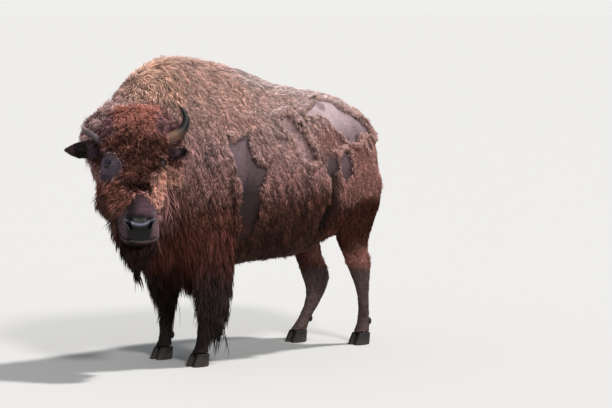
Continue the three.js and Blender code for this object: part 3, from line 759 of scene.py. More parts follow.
def coatColour(points, normals, part):
    x, y, z = points.T
    # The coat's tone by height, from the dark belly to the bleached top; the height wanders at random and rises a
    # little where the surface faces up, which is painted light.
    wander = z + 0.05 * cloud(points, 0.22, 11) + 0.03 * cloud(points, 0.07, 12) + 0.06 * (normals[:, 2] - 0.2)
    steps = np.array([height for height, name in tones])
    colour = np.stack([np.interp(wander, steps, [palette[name][c] for height, name in tones]) for c in range(3)], 1)
    lobe = np.exp(-((y - 0.43) / 0.11) ** 2 - ((z - 1.12) / 0.10) ** 2) * (x > 0)  # the darker lobe below the loin
    colour = colour * (1 - lobe[:, None] * [0.62, 0.70, 0.72])
    # Painted sunlight on the top of the back: the loin's wool and the up-facing wool along the back blend towards a
    # pale sunlit colour.
    loin = ramp(-0.1, 0.1, y) * ramp(1.08, 1.28, z + 0.1 * normals[:, 2]) * (1 - lobe)
    colour = blendedTowards(colour, palette["sunlitTop"], 0.35 * loin)
    colour = blendedTowards(colour, palette["sunlitTop"], 0.6 * (ramp(0.55, 0.9, normals[:, 2]) * ramp(-0.25, 0.05, y) * ramp(0.78, 0.5, y)))
    fore = ramp(-0.02, -0.22, y) * ramp(0.86, 0.62, wander)  # the chest darkens towards the forelegs
    colour = blendedTowards(colour, palette["under"] * blend(0.7, 3.4, ramp(0.52, 0.72, z))[:, None], fore)
    hind = ramp(0.40, 0.60, y) * ramp(1.30, 1.10, wander)
    colour = blendedTowards(colour, palette["chestnut"], 0.85 * hind)
    thigh = ramp(0.30, 0.50, y) * ramp(0.84, 0.68, wander) * (1 - 0.5 * ramp(0.74, 0.86, y))
    colour = blendedTowards(colour, palette["thigh"], thigh)
    colour = blendedTowards(colour, palette["thigh"], weightOf(part, "hindUpper"))
    # Painted light at the flank's fold: a painted highlight on the flank just in front of it, and painted shadow in the
    # fold behind it.
    behind = y - np.interp(z, foldLine["heights"], foldLine["backs"])
    level = ramp(0.60, 0.68, z) * ramp(1.06, 0.94, z) * (ramp(0.12, 0.20, x) + 0.6 * ramp(-0.12, -0.20, x))
    colour = colour * (1 + 0.5 * level * np.exp(-((behind + 0.018) / 0.016) ** 2))[:, None]
    colour = colour * (1 - 0.86 * level * ramp(0.0, 0.012, behind) * ramp(0.125, 0.055, behind))[:, None]
    warm = ramp(-0.30, -0.50, y) * ramp(1.28, 1.42, z)  # the hump's crest
    colour = blendedTowards(colour, palette["crest"], 0.6 * warm)
    # Painted shadow in a patchy band beside each torn edge of the fleece.
    torn = hem(points)
    under = np.exp(-((torn - 0.021) / 0.010) ** 2) * weightOf(part, "shoulders", "barrel", "haunches") * ramp(0.66, 0.80, z)
    colour = colour * (1 - 0.75 * under * ramp(-0.6, 0.3, cloud(points, 0.09, 76)))[:, None]
    hock = np.exp(-((z - 0.47) / 0.07) ** 2) * ramp(0.60, 0.72, y)
    colour = blendedTowards(colour, palette["chestnut"] * 0.8, hock * weightOf(part, "hindUpper", "hindLower"))
    colour = blendedTowards(colour, palette["shin"], ramp(0.44, 0.38, z) * weightOf(part, "hindLower"))
    shin = blendedTowards(palette["under"] * 1.2, palette["black"], ramp(0.62, 0.40, z))
    colour = blendedTowards(colour, shin, weightOf(part, "foreUpper", "foreLower", "chaps"))
    colour = blendedTowards(colour, palette["black"], weightOf(part, "beard"))
    mop, cheek, bare, throat = headZones(points, part)
    across, out, down = inHead(points).T
    patchy = 40 * cloud(points, 0.06, 16)
    crown = blendedTowards(palette["mop"], palette["crown"], ramp(-90, -230, down + patchy))
    crown = blendedTowards(crown, palette["mop"] * 1.7, ramp(30, 60, down + patchy) * ramp(96, 70, down + patchy))
    # Painted shade under the lower edge of the forehead's wool, on the mop here and on the cheek wool below.
    dark = ramp(96, 112, down + 0.3 * patchy) * ramp(168, 150, down) * ramp(78, 52, np.abs(across - 8) + 0.3 * patchy)
    crown = blendedTowards(crown, palette["shadeUnderFringe"], dark)
    wide = np.abs(across)
    crown = blendedTowards(crown, palette["nape"], ramp(88, 120, wide + patchy) * ramp(-128, -165, down))
    # Lighter towards the head's left side, here and in the cheek wool below: painted sunlight on the left cheek's tan
    # wool.
    crown = blendedTowards(crown, palette["cheek"] * 0.75, ramp(62, 95, across + 0.4 * patchy) * ramp(25, 55, down))
    crown = crown * tone(points, 0.028, 0.26, 17)[:, None]
    side = blendedTowards(palette["mop"] * 1.6, palette["cheek"], ramp(-10, 70, across + 0.5 * patchy))
    side = blendedTowards(side, palette["mop"] * 1.1, ramp(190, 250, down) * ramp(0, -60, across))
    below = blendedTowards(palette["mop"] * 0.8, palette["black"], ramp(290, 370, down))
    beneath = blendedTowards(below, palette["mane"], ramp(-10, 70, across))
    # the same painted shade under the forehead's wool
    side = blendedTowards(side, palette["shadeUnderFringe"], dark)
    colour = blendedTowards(colour, crown, mop)
    colour = blendedTowards(colour, side, cheek)
    colour = blendedTowards(colour, beneath, throat)
    colour = blendedTowards(colour, faceTint(points), bare)
    nearHead = weightOf(part, "neck", "head") * ramp(-0.54, -0.70, y) * ramp(60, -60, across) * ramp(0.92, 1.12, z)
    colour = blendedTowards(colour, palette["nape"] * 0.8, 0.8 * (nearHead * (1 - mop - cheek - bare - throat)))
    cup = ramp(0.0, 0.25, normals @ headAxes[:, 1]) * ramp(earMiddle - 2, earMiddle + 14, wide) * ramp(earMiddle + 78, earMiddle + 60, wide)
    earTint = blendedTowards(palette["ear"], palette["black"] * 0.3, cup)
    colour = blendedTowards(colour, earTint, ramp(0.1, 0.4, weightOf(part, "ear")))
    return colour * tone(points, 0.035, 0.16, 14)[:, None] * tone(points, 0.12, 0.12, 15)[:, None]


def bareColour(points, normals, part=None):  # the short slate hair of the shed patches
    z = points[:, 2] + 0.04 * cloud(points, 0.1, 20)
    colour = blendedTowards(palette["slateDark"], palette["slate"], ramp(0.80, 1.10, z))
    colour = blendedTowards(colour, palette["slatePale"], ramp(1.10, 1.27, z))
    colour = blendedTowards(colour, palette["under"], ramp(0.82, 0.64, z))
    band = wornBand(points)
    colour = blendedTowards(colour, palette["worn"] * blend(1.0, 0.6, ramp(1.12, 1.22, z))[:, None], 0.85 * band)
    rimShade = 1 - 0.65 * ramp(0.014, 0.001, shed(points))
    return colour * tone(points, 0.06, 0.10, 21)[:, None] * (rimShade * (1 + 0.25 * band * cloud(points, 0.012, 22)))[:, None]


def wornBand(points):  # the flank patch, where thin wool is left
    x, y, z = points.T
    return ramp(0.05, 0.11, y) * ramp(0.37, 0.32, y) * ramp(0.92, 0.98, z)


def layOf(points, normals, part):  # the way that the hair lies, along the skin
    x, y, z = points.T
    way = np.stack([np.zeros(len(x)), np.full(len(x), 0.42), np.full(len(x), -1.0)], 1)
    way[:, 1] += 1.3 * ramp(0.45, 0.9, normals[:, 2]) + 0.35 * ramp(1.0, 1.3, z) * ramp(-0.3, 0.2, y)
    way[:, 1] -= 0.30 * ramp(-0.3, -0.6, y)
    way[:, 1] += 0.5 * ramp(-0.4, -0.9, normals[:, 2])
    limb = weightOf(part, "foreUpper", "foreLower", "hindUpper", "hindLower", "tail", "chaps", "beard")
    way = blendedTowards(way, np.array([0, 0.12, -1.0]), limb)
    local = inHead(points)
    whorl = np.array([0, -60.0, -250.0])
    fan = unit(local - whorl) * np.array([0.75, 0.5, 1.0]) + np.array([0, 0, 0.35])
    face = np.stack([0.004 * local[:, 0], np.full(len(x), -0.25), np.full(len(x), 1.0)], 1)
    mop, cheek, bare, throat = headZones(points, part)
    way = blendedTowards(way, fan @ headAxes.T, mop)
    way = blendedTowards(way, unit(face) @ headAxes.T, cheek + bare)
    ear = weightOf(part, "ear")
    outwards = np.stack([np.sign(local[:, 0]), np.full(len(x), -0.2), np.full(len(x), -0.05)], 1)
    way = blendedTowards(way, outwards @ headAxes.T, ear)
    swirl = 0.35 * cloud(points, 0.16, 31) + 0.22 * cloud(points, 0.05, 32)
    way = unit(way - normals * np.sum(way * normals, axis=1, keepdims=True))
    return unit(way + np.cross(normals, way) * swirl[:, None])


# The skin's colours, with painted shade under the wool and in the face's hollows, and painted highlights on the nose
# and lip.
def finishSkin():
    # Under the wool the skin takes the coat's colour, darker on the trunk, neck and head: painted shade between the
    # tufts.
    colour = coatColour(coords, broad, part) * (0.7 - 0.35 * weightOf(part, "head", "neck", "shoulders", "barrel", "haunches"))[:, None]
    patch = ramp(-0.004, 0.003, shed(coords)) * weightOf(part, "barrel", "shoulders", "haunches")
    colour = blendedTowards(colour, bareColour(coords, normals), patch)
    local = inHead(coords)
    across, out, down = local.T
    wide = np.abs(across)
    on = weightOf(part, "head", "jaw")
    mop, cheek, bare, throat = headZones(coords, part)
    # Painted shade in the left eye's socket.
    socket = ramp(36, 20, np.hypot(across - 130, down)) * on
    colour = blendedTowards(colour, palette["nose"], 0.8 * socket)
    lid = ramp(34, 26, np.linalg.norm(np.stack([wide, out, down], 1) - eyeShape["centre"], axis=1))
    colour = blendedTowards(colour, palette["nose"], 0.85 * lid)
    height = out - lineOut(down)
    middle = ramp(56, 40, wide)
    # A pale line along the lower lip: painted highlight.
    lip = on * ramp(340, 372, down) * np.exp(-((height + 5.5) / 2.2) ** 2) * middle
    colour = blendedTowards(colour, palette["lip"], 0.9 * lip)
    nose = noseMask(local) * on
    colour = blendedTowards(colour, palette["nose"], nose)
    colour = blendedTowards(colour, palette["noseGleam"], 0.85 * noseRim(local) * on)
    # A dark line along the mouth: painted shade in its crease.
    colour = blendedTowards(colour, palette["nose"] * 0.5, on * np.exp(-(height / 4) ** 2) * ramp(220, 260, down))
    # Painted shade inside the nostrils.
    for side in (1, -1):
        colour = blendedTowards(colour, palette["nose"] * 0.3, insideNostril(local, side) * on)
    paint(skinMesh, "tint", colour)
    wet = np.clip(nose + 0.9 * noseRim(local) * on + 0.2 * lip + 0.5 * lid + 0.1 * on * np.exp(-(height / 5) ** 2) * ramp(300, 360, down), 0, 1)
    paintValue(skinMesh, "wet", wet)


finishSkin()
skinMesh.materials.clear()
skinMesh.materials.append(hideMaterial())
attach(skin, "root")
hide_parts(*[name for names, depth in flesh.values() for name in names if not name.startswith("eye")])
print("skin painted")


# Tufts: thin closed three-sided locks, pointed at both ends, swept along paths and joined.
tuftLimits = {"mostTriangles": 199000, "quickShare": 0.35, "patch": 0.003, "brightest": 0.95, "floor": 4}
stations = {1: (0, 0.36, 1), 2: (0, 0.22, 0.60, 1), 3: (0, 0.16, 0.42, 0.72, 1), 4: (0, 0.12, 0.34, 0.58, 0.82, 1)}
fatness = {1: (1.0,), 2: (1.0, 0.72), 3: (0.95, 1.0, 0.62), 4: (0.85, 1.0, 0.8, 0.5)}


def tuftPattern(rings):  # one tuft's faces, and each corner's place on its small patch of the unwrap
    faces, places = [], []
    tip = 1 + 3 * rings
    for corner in range(3):
        a, b = corner, (corner + 1) % 3
        faces.append((0, 1 + b, 1 + a))
        places.append([(corner + 0.5, 0), (corner + 1, 1), (corner, 1)])
        for ring in range(rings - 1):
            low, high = 1 + 3 * ring, 4 + 3 * ring
            faces.append((low + a, low + b, high + b, high + a))
            places.append([(corner, ring + 1), (corner + 1, ring + 1), (corner + 1, ring + 2), (corner, ring + 2)])
        low = 1 + 3 * (rings - 1)
        faces.append((low + a, low + b, tip))
        places.append([(corner, rings), (corner + 1, rings), (corner + 0.5, rings + 1)])
    place = np.array([spot for face in places for spot in face]) / np.array([3.0, rings + 1.0]) - 0.5
    return faces, place


def sweepTufts(name, paths, above, widths, thicknesses, rootTint, tipTint, spots, slot):
    count, rings = paths.shape[0], paths.shape[1] - 2
    ahead = unit(paths[:, 2:] - paths[:, :-2])
    side = unit(np.cross(ahead, above[:, None, :]))
    top = np.cross(side, ahead)
    fat = np.array(fatness[rings])
    half = side * (widths[:, None] * fat)[..., None] * 0.5
    lift = top * (thicknesses[:, None] * fat)[..., None]
    middle = paths[:, 1:-1]
    shell = np.stack([middle + half, middle - half, middle + lift], axis=2).reshape(count, rings * 3, 3)
    vertices = np.concatenate([paths[:, :1], shell, paths[:, -1:]], axis=1)
    each = rings * 3 + 2
    faces, place = tuftPattern(rings)
    sizes = np.array([len(face) for face in faces])
    corners = np.array([corner for face in faces for corner in face])
    mesh = bpy.data.meshes.new(name)
    mesh.vertices.add(count * each)
    mesh.loops.add(count * len(corners))
    mesh.polygons.add(count * len(faces))
    mesh.vertices.foreach_set("co", vertices.astype(np.float32).ravel())
    loops = (np.arange(count)[:, None] * each + corners[None]).ravel()
    mesh.loops.foreach_set("vertex_index", loops.astype(np.int32))
    starts = np.concatenate([[0], np.cumsum(sizes)[:-1]])
    starts = (np.arange(count)[:, None] * len(corners) + starts[None]).ravel()
    mesh.polygons.foreach_set("loop_start", starts.astype(np.int32))
    smoothShade(mesh)
    mesh.update(calc_edges=True)
    layer = mesh.uv_layers.new(name="OFBake")
    patch = np.clip(spots[:, None, :] + place[None] * tuftLimits["patch"], 0.0005, 0.9995)
    layer.data.foreach_set("uv", patch.astype(np.float32).ravel())
    share = np.array(stations[rings])
    fade = np.concatenate([[0.0], np.repeat(share[1:-1], 3), [1.0]])[None, :, None] ** 0.8
    paint(mesh, "tint", (rootTint[:, None] * (1 - fade) + tipTint[:, None] * fade).reshape(-1, 3))
    mesh.materials.append(hairs[slot])
    thing = addObject(name, mesh)
    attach(thing, "root")
    return thing


corner0, corner1, corner2 = (coords[triangles[:, k]] for k in range(3))
areas = np.linalg.norm(np.cross(corner1 - corner0, corner2 - corner0), axis=1) / 2
centres = (corner0 + corner1 + corner2) / 3
centrePart = part[triangles].mean(axis=1)
centreNormal = unit(normals[triangles].mean(axis=1))
centreShed = shed(centres)
centreLocal = inHead(centres)
total = {"tufts": 0, "triangles": 0}


def notTooBright(colour):
    return colour * np.minimum(1, tuftLimits["brightest"] / colour.max(axis=1, keepdims=True))


def growCoat(name, where, look, slot, colourOf=coatColour):
    dice = np.random.default_rng(sum(map(ord, name)))
    weight = areas * where
    rings = look.get("rings", 1)
    count = int(min(look["perSquareMetre"] * weight.sum(), look.get("most", tuftLimits["mostTriangles"] // (6 * rings))))
    count = int(count * (1))
    chosen = dice.choice(len(areas), size=count, p=weight / weight.sum())
    a, b = dice.random(count), dice.random(count)
    flip = a + b > 1
    a[flip], b[flip] = 1 - a[flip], 1 - b[flip]
    mixing = np.stack([1 - a - b, a, b], 1)[:, :, None]
    roots = (coords[triangles[chosen]] * mixing).sum(1)
    above = unit((normals[triangles[chosen]] * mixing).sum(1))
    slope = unit((broad[triangles[chosen]] * mixing).sum(1))
    share = (part[triangles[chosen]] * mixing).sum(1)
    spots = (unwrap[chosen] * mixing).sum(1)
    lay = layOf(roots, above, share)
    lay = unit(lay + np.cross(above, lay) * dice.normal(0, look.get("stray", 0.12), count)[:, None])
    reach = look["length"] * mm * np.exp(dice.normal(0, look.get("uneven", 0.2), count))
    reach = reach * (1 + 0.25 * cloud(roots, 0.05, 41))
    wave = streak(roots, slope, 81) if look.get("streaks") else 0
    reach = reach * (1 + 0.3 * wave)
    if "grow" in look:
        reach = reach * look["grow"](roots, above)
    if look.get("keepOut"):  # no lock lies far over a shed patch
        start, end = shed(roots), shed(roots + lay * reach[:, None])
        cross = -start / np.maximum(end - start, 1e-6)
        reach = reach * np.where(end > 0, np.clip(cross + 0.3, 0.4, 1), 1)
    steep = np.radians(look["lift"] * (1 + 0.3 * dice.normal(0, 1, count) + 0.5 * wave))
    spin = dice.random(count) * 2 * math.pi
    across = np.cross(above, lay)
    paths = [roots - above * look.get("sunk", 2) * mm]
    for low, high in zip(stations[rings], stations[rings][1:]):
        t = (low + high) / 2
        angle = steep * (1 - look.get("settle", 0.9) * t)
        way = lay * np.cos(angle)[:, None] + above * np.sin(angle)[:, None]
        way = way + np.array([0, 0, -1.0]) * (look.get("droop", 0.0) * t)
        curl = look.get("curl", 0.0)
        if curl:
            phase = spin + look.get("turns", 0.7) * 2 * math.pi * t
            way = way + curl * (across * np.cos(phase)[:, None] + above * np.sin(phase)[:, None])
        paths.append(paths[-1] + unit(way) * (reach * (high - low))[:, None])
    paths = np.stack(paths, 1)
    paths[..., 2] = np.maximum(paths[..., 2], tuftLimits["floor"] * mm)
    clump = look.get("clump", 0.0)
    shade = np.exp(dice.normal(0, look.get("vary", 0.16), count))
    if clump:
        leaders = dice.choice(count, size=count // look["together"], replace=False)
        tree = KDTree(len(leaders))
        for number, leader in enumerate(leaders):
            tree.insert(roots[leader], number)
        tree.balance()
        leader = leaders[np.array([tree.find(root)[1] for root in roots])]
        near = ramp(0.05, 0.02, np.linalg.norm(roots[leader] - roots, axis=1))[:, None]
        pull = clump * near * np.array(stations[rings])[None] ** 1.2
        paths = paths + (paths[leader] - paths) * pull[..., None]
        shade *= np.exp(dice.normal(0, look.get("varyClump", 0.14), count)[leader])
    # Tufts in the streaks' valleys are also darker: painted shade between the locks, over the wool's own streaky tone.
    if look.get("streaks"):
        shade *= np.exp(look["streaks"] * wave)
    colour = colourOf(roots, slope, share)
    # Darker roots and paler tips: the hair's own colour, with painted shade near the skin and a painted sky highlight
    # on the tips.
    rootTint = colour * look.get("rootHue", 1) * (look.get("rootShade", 0.55) * shade)[:, None]
    tipTint = colour * look.get("tipHue", 1) * look.get("tipShade", 1.35)
    tipTint = notTooBright(notTooBright(tipTint) * shade[:, None])
    widths = look["width"] * mm * np.exp(dice.normal(0, 0.2, count))
    thick = widths * look.get("flat", 0.4)
    sweepTufts(name, paths, above, widths, thick, rootTint, tipTint, spots, slot)
    total["tufts"] += count
    total["triangles"] += count * 6 * rings
    print(f"{name}: {weight.sum():.2f} square metres, {count} tufts, {count * 6 * rings} triangles")


leftSide = centres[:, 0] > 0
trunkLabel = centrePart.argmax(axis=1)
woolly = ramp(0.004, -0.004, centreShed)


def labelled(*names):
    return np.isin(trunkLabel, [regions.index(name) for name in names]).astype(float)


def crest(roots, above):  # longer on the hump's crest, the belly's edge and the hocks
    return 1 + 0.55 * ramp(1.40, 1.52, roots[:, 2]) + 0.5 * ramp(0.72, 0.62, roots[:, 2])


def nearEars(roots, above):  # short wool round the ears and horns
    local = inHead(roots)
    gap = np.min([np.linalg.norm(local - inHead(boxMiddle(f"ear_{side}")), axis=1) for side in sides], axis=0)
    return ramp(45, 125, gap) * 0.7 + 0.3


shoulderWool = {"perSquareMetre": 40000, "length": 32, "width": 3.4, "lift": 24, "settle": 0.9, "stray": 0.20,
                "curl": 0.42, "together": 5, "clump": 0.4, "rootShade": 0.50, "tipShade": 2.15, "vary": 0.42,
                "varyClump": 0.22, "streaks": 1.0, "tipHue": np.array([0.97, 1.17, 1.26]),
                "rootHue": np.array([1.0, 0.93, 0.92]), "keepOut": True, "grow": crest}
flankWool = dict(shoulderWool, length=29, width=3.3, lift=22)
rumpWool = dict(shoulderWool, length=24, width=3.1, lift=20)
neckWool = dict(shoulderWool, perSquareMetre=31500, length=46, width=4.4, lift=30, droop=0.25,
                grow=lambda roots, above: crest(roots, above) * nearEars(roots, above))
for side, here, share in (("left", leftSide, 1), ("right", ~leftSide, 0.635)):
    for look in (shoulderWool, flankWool, rumpWool):
        look["perSquareMetre"] = 40000 * share
    growCoat(f"coat_shoulder_{side}", here * labelled("shoulders") * woolly, shoulderWool, "wool")
    growCoat(f"coat_flank_{side}", here * labelled("barrel") * woolly, flankWool, "wool")
    growCoat(f"coat_rump_{side}", here * labelled("haunches") * woolly, rumpWool, "wool")
growCoat("coat_neck", labelled("neck"), neckWool, "wool")

edgeWool = {"perSquareMetre": 90000, "length": 24, "width": 3.6, "lift": 48, "settle": 0.6, "stray": 0.7, "curl": 0.8,
            "turns": 0.6, "rings": 2, "rootShade": 0.5, "tipShade": 1.4, "together": 6, "clump": 0.45, "vary": 0.2,
            "most": 8300}


def edgeColour(points, above, share):
    pale = coatColour(points, above, share) * 1.5 + 0.015
    return blendedTowards(pale, palette["edge"], 0.65 * ramp(0.75, 1.15, points[:, 2]))


trunk = labelled("shoulders", "barrel", "haunches")
higher = ramp(0.66, 0.80, centres[:, 2])
centreHem = hem(centres)
rim = ramp(-0.020, -0.012, centreShed) * ramp(0.003, -0.003, centreShed) * trunk * higher
torn = ramp(0.009, 0.004, centreHem) * ramp(0.0, -0.01, centreShed) * trunk
ragged = ramp(-0.45, 0.35, cloud(centres, 0.10, 75))
growCoat("coat_patch_edges", np.maximum(rim, torn) * (0.15 + ragged), edgeWool, "wool", edgeColour)

shortHair = {"perSquareMetre": 16000, "length": 13, "width": 2.4, "lift": 9, "stray": 0.10, "rootShade": 1.0,
             "tipShade": 1.25, "vary": 0.08, "sunk": 1}
slateZone = ramp(-0.002, 0.004, centreShed) * trunk
wornHair = dict(shortHair, perSquareMetre=45000, length=13, width=2.4, lift=11, stray=0.25, tipShade=1.35, rootShade=0.7,
                vary=0.2, together=6, clump=0.5, varyClump=0.3)
growCoat("coat_worn", slateZone * ramp(0.3, 0.8, wornBand(centres)), wornHair, "wool",
         bareColour)
growCoat("coat_short", slateZone, shortHair, "wool", bareColour)

mopZone, cheekZone, bareZone, throatZone = headZones(centres, centrePart)
headLabel = labelled("head", "jaw")


def jawFringe(roots, above):  # longer below the right cheek
    across, out, down = inHead(roots).T
    return 1 + 0.9 * ramp(-20, -80, across) * ramp(150, 215, down)


mopWool = {"most": 13800, "perSquareMetre": 60000, "length": 44, "width": 4.6, "grow": nearEars,
           "tipHue": np.array([1.0, 1.02, 1.06]), "rootHue": np.array([1.05, 0.85, 0.80]), "rootShade": 0.25,
           "tipShade": 2.3, "lift": 46, "settle": 0.55, "stray": 0.5, "curl": 0.75, "turns": 0.6, "rings": 2,
           "together": 9, "clump": 0.6, "vary": 0.3, "varyClump": 0.42, "flat": 0.45}
cheekWool = dict(mopWool, perSquareMetre=50000, length=36, width=4.8, lift=34, curl=0.6, droop=0.3, rootShade=0.55,
                 grow=lambda roots, above: nearEars(roots, above) * jawFringe(roots, above))
throatHair = {"perSquareMetre": 30000, "length": 60, "width": 5.5, "lift": 34, "settle": 0.9, "stray": 0.3,
              "droop": 1.2, "curl": 0.3, "rings": 3, "together": 9, "clump": 0.5, "rootShade": 0.5, "tipShade": 1.5,
              "grow": jawFringe}
faceHair = {"perSquareMetre": 150000, "length": 9, "width": 1.5, "lift": 12, "stray": 0.2, "rootShade": 0.95,
            "tipShade": 1.12, "vary": 0.12, "sunk": 0.5}
eyeClear = np.minimum(*[np.linalg.norm(centreLocal - eyeAxes(side)[0], axis=1) for side in (1, -1)])
eyesFree = ramp(25, 29, eyeClear)
jawHair = {"perSquareMetre": 70000, "length": 78, "width": 4.6, "lift": 58, "settle": 0.7, "stray": 0.35, "droop": 0.9,
           "rings": 3, "together": 8, "clump": 0.5, "rootShade": 0.6, "tipShade": 1.5, "curl": 0.35, "vary": 0.25,
           "uneven": 0.12}
acrossAt, outAt, downAt = centreLocal.T
jawZone = ramp(-45, -75, acrossAt) * ramp(-25, -60, outAt) * ramp(120, 165, downAt) * ramp(350, 310, downAt)


def jawColour(points, above, share):
    return np.tile(palette["mop"] * [1.1, 1.25, 1.4], (len(points), 1))


growCoat("coat_jaw_right", headLabel * jawZone * (centreNormal @ headAxes[:, 0] < -0.3), jawHair, "dark_hair",
         jawColour)
growCoat("coat_mop", headLabel * mopZone * eyesFree, mopWool, "dark_hair")
growCoat("coat_cheeks", headLabel * cheekZone * eyesFree, cheekWool, "wool")
growCoat("coat_throat", headLabel * throatZone, throatHair, "dark_hair")
clear = headLabel * bareZone * ramp(27, 34, eyeClear) * (1 - ramp(-0.2, 0.2, noseMask(centreLocal)))
chinHair = ramp(-9, -14, outAt - lineOut(downAt)) * ramp(300, 330, downAt)
clear = np.maximum(clear * ramp(392, 372, downAt), 1.5 * headLabel * bareZone * chinHair)
growCoat("coat_face", clear, faceHair, "dark_hair", faceTint)

maneLocks = {"perSquareMetre": 30000, "length": 165, "width": 5.8, "lift": 18, "settle": 1.0, "stray": 0.18, "droop": 1.8,
             "rings": 4, "together": 9, "clump": 0.6, "rootShade": 0.4, "tipShade": 1.9, "vary": 0.25, "curl": 0.6,
             "varyClump": 0.3, "turns": 1.2}
locksZone = (ramp(40, 80, acrossAt) * ramp(185, 150, acrossAt) * ramp(-60, -110, outAt) * ramp(-320, -260, outAt)
             * ramp(20, 60, downAt) * ramp(300, 240, downAt))


def maneColour(points, above, share):
    return np.tile(palette["mane"], (len(points), 1)) * tone(points, 0.04, 0.25, 91)[:, None]


growCoat("coat_mane_left", labelled("head", "jaw", "neck") * locksZone, maneLocks, "wool", maneColour)

beardHair = {"perSquareMetre": 26000, "length": 90, "width": 4.5, "lift": 30, "settle": 0.95, "stray": 0.25, "droop": 2.0,
             "rings": 3, "together": 10, "clump": 0.55, "rootShade": 0.7, "tipShade": 1.3, "vary": 0.2}
chapsHair = dict(beardHair, perSquareMetre=12500, length=80, width=4.2, lift=28, rootShade=0.9, tipShade=3.8, curl=0.3,
                 tipHue=np.array([1.0, 1.05, 1.25]))
growCoat("coat_beard", labelled("beard"), beardHair, "dark_hair")
growCoat("coat_chaps", labelled("chaps"), chapsHair, "dark_hair")


def hocks(roots, above):  # a ruff of longer hair behind each hock
    return 1 + 1.2 * np.exp(-((roots[:, 2] - 0.48) / 0.06) ** 2) * ramp(0.2, 0.7, above[:, 1]) * (roots[:, 1] > 0.3)


brisket = dict(beardHair, perSquareMetre=14000, length=140)
beneath = (ramp(-0.1, -0.5, centreNormal[:, 2]) * ramp(-0.55, -0.48, centres[:, 1])
           * ramp(-0.16, -0.22, centres[:, 1]) * ramp(0.19, 0.14, np.abs(centres[:, 0])))
growCoat("coat_brisket", labelled("shoulders", "neck", "chaps") * beneath, brisket, "dark_hair")
upperHair = {"perSquareMetre": 30000, "length": 32, "width": 3.4, "lift": 20, "stray": 0.2, "together": 7, "clump": 0.55,
             "rootShade": 0.5, "tipShade": 1.6, "droop": 0.2, "curl": 0.2, "varyClump": 0.22, "grow": hocks}
lowerHair = {"perSquareMetre": 34000, "length": 13, "width": 2.4, "lift": 14, "stray": 0.18, "rootShade": 0.65,
             "tipShade": 1.4, "sunk": 1, "together": 6, "clump": 0.4, "grow": hocks}
growCoat("coat_forelegs_lower", labelled("foreLower"), lowerHair, "dark_hair")
growCoat("coat_thighs", labelled("hindUpper"), dict(upperHair, length=24), "dark_hair")
growCoat("coat_hindlegs_lower", labelled("hindLower"), lowerHair, "dark_hair")
growCoat("coat_ears", labelled("ear"), dict(upperHair, perSquareMetre=130000, length=14, width=2.0, lift=22), "dark_hair")
growCoat("coat_tail", labelled("tail"), dict(lowerHair, length=22), "dark_hair")


# The tail's tuft: long locks round its end.
tailTuft = {"locks": 700, "length": 300, "width": 6, "rings": 4}


def buildTailTuft():
    dice = np.random.default_rng(8)
    low, high = (np.array(corner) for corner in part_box("tail_tuft"))
    count = tailTuft["locks"]
    middle = (low + high) / 2
    angle = dice.random(count) * 2 * math.pi
    share = dice.random(count)
    outward = np.stack([np.cos(angle), np.sin(angle), np.zeros(count)], 1)
    roots = middle * [1, 1, 0] + outward * (0.012 * np.sqrt(dice.random(count)))[:, None]
    roots[:, 2] = high[2] - share * (high[2] - low[2]) * 0.55
    bottom = low[2] + 0.012 + 0.06 * dice.random(count) ** 2
    reach = np.minimum(roots[:, 2] - bottom, tailTuft["length"] * mm)
    rings = tailTuft["rings"]
    paths = [roots]
    half = (high - low)[:2].min() / 2
    for t in stations[rings][1:]:
        belly = half * 0.85 * math.sin(min(t * 1.25, 1) * math.pi) * np.sqrt(dice.random(count))
        paths.append(roots + outward * belly[:, None] * 0.8 + np.array([0, 0, -1.0]) * (reach * t)[:, None])
    colour = np.tile(palette["black"] * 1.5, (count, 1)) * np.exp(dice.normal(0, 0.25, count))[:, None]
    spots = np.stack([0.4 + 0.1 * dice.random(count), 0.4 + 0.1 * dice.random(count)], 1)
    thing = sweepTufts("tail_hair", np.stack(paths, 1), outward, np.full(count, tailTuft["width"] * mm),
                       np.full(count, 0.003), colour * 0.7, colour * 1.3, spots, "dark_hair")
    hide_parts("tail_tuft")


buildTailTuft()
print("coat grown:", total)


# Eyes.
eyeLook = {"pupil": (0.50, 0.24), "iris": 0.72, "bulge": 1.6}


def buildEye(side, sideName):
    centre, gaze, long, short = eyeAxes(side)
    bm = bmesh.new()
    bmesh.ops.create_uvsphere(bm, u_segments=64, v_segments=44, radius=eyeShape["radius"])
    turn = Matrix(np.stack([long, np.cross(gaze, long), gaze], 1).tolist())
    bmesh.ops.rotate(bm, verts=bm.verts, cent=(0, 0, 0), matrix=turn)
    mesh = meshFrom(bm, f"eyeball_{sideName}")
    local = coordsOf(mesh)
    way = unit(local)
    a, b, ahead = way @ long, way @ short, way @ gaze
    off = np.arccos(np.clip(ahead, -1, 1))
    local = local + way * (eyeLook["bulge"] * ramp(0.62, 0.2, off))[:, None]
    pupil = ramp(1.12, 0.9, np.hypot(a / eyeLook["pupil"][0], b / eyeLook["pupil"][1])) * (ahead > 0)
    iris = ramp(eyeLook["iris"] + 0.05, eyeLook["iris"] - 0.05, off)
    colour = blendedTowards(palette["eyeWhite"], palette["iris"], iris)
    colour = blendedTowards(colour, palette["pupil"], pupil)
    gleam = ramp(0.02, 0.20, b) * ramp(0.85, 0.65, b) * (ahead > 0) * (side < 0)
    colour = blendedTowards(colour, palette["eyeGleam"], gleam)
    setCoords(mesh, fromHead(local + centre))
    smoothShade(mesh)
    paint(mesh, "tint", colour)
    mesh.materials.append(eyeGloss)
    thing = addObject(f"eyeball_{sideName}", mesh)
    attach(thing, "root")
    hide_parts(f"eye_{sideName}")


eyeGloss = eyeMaterial()
for side, sideName in ((1, "left"), (-1, "right")):
    buildEye(side, sideName)


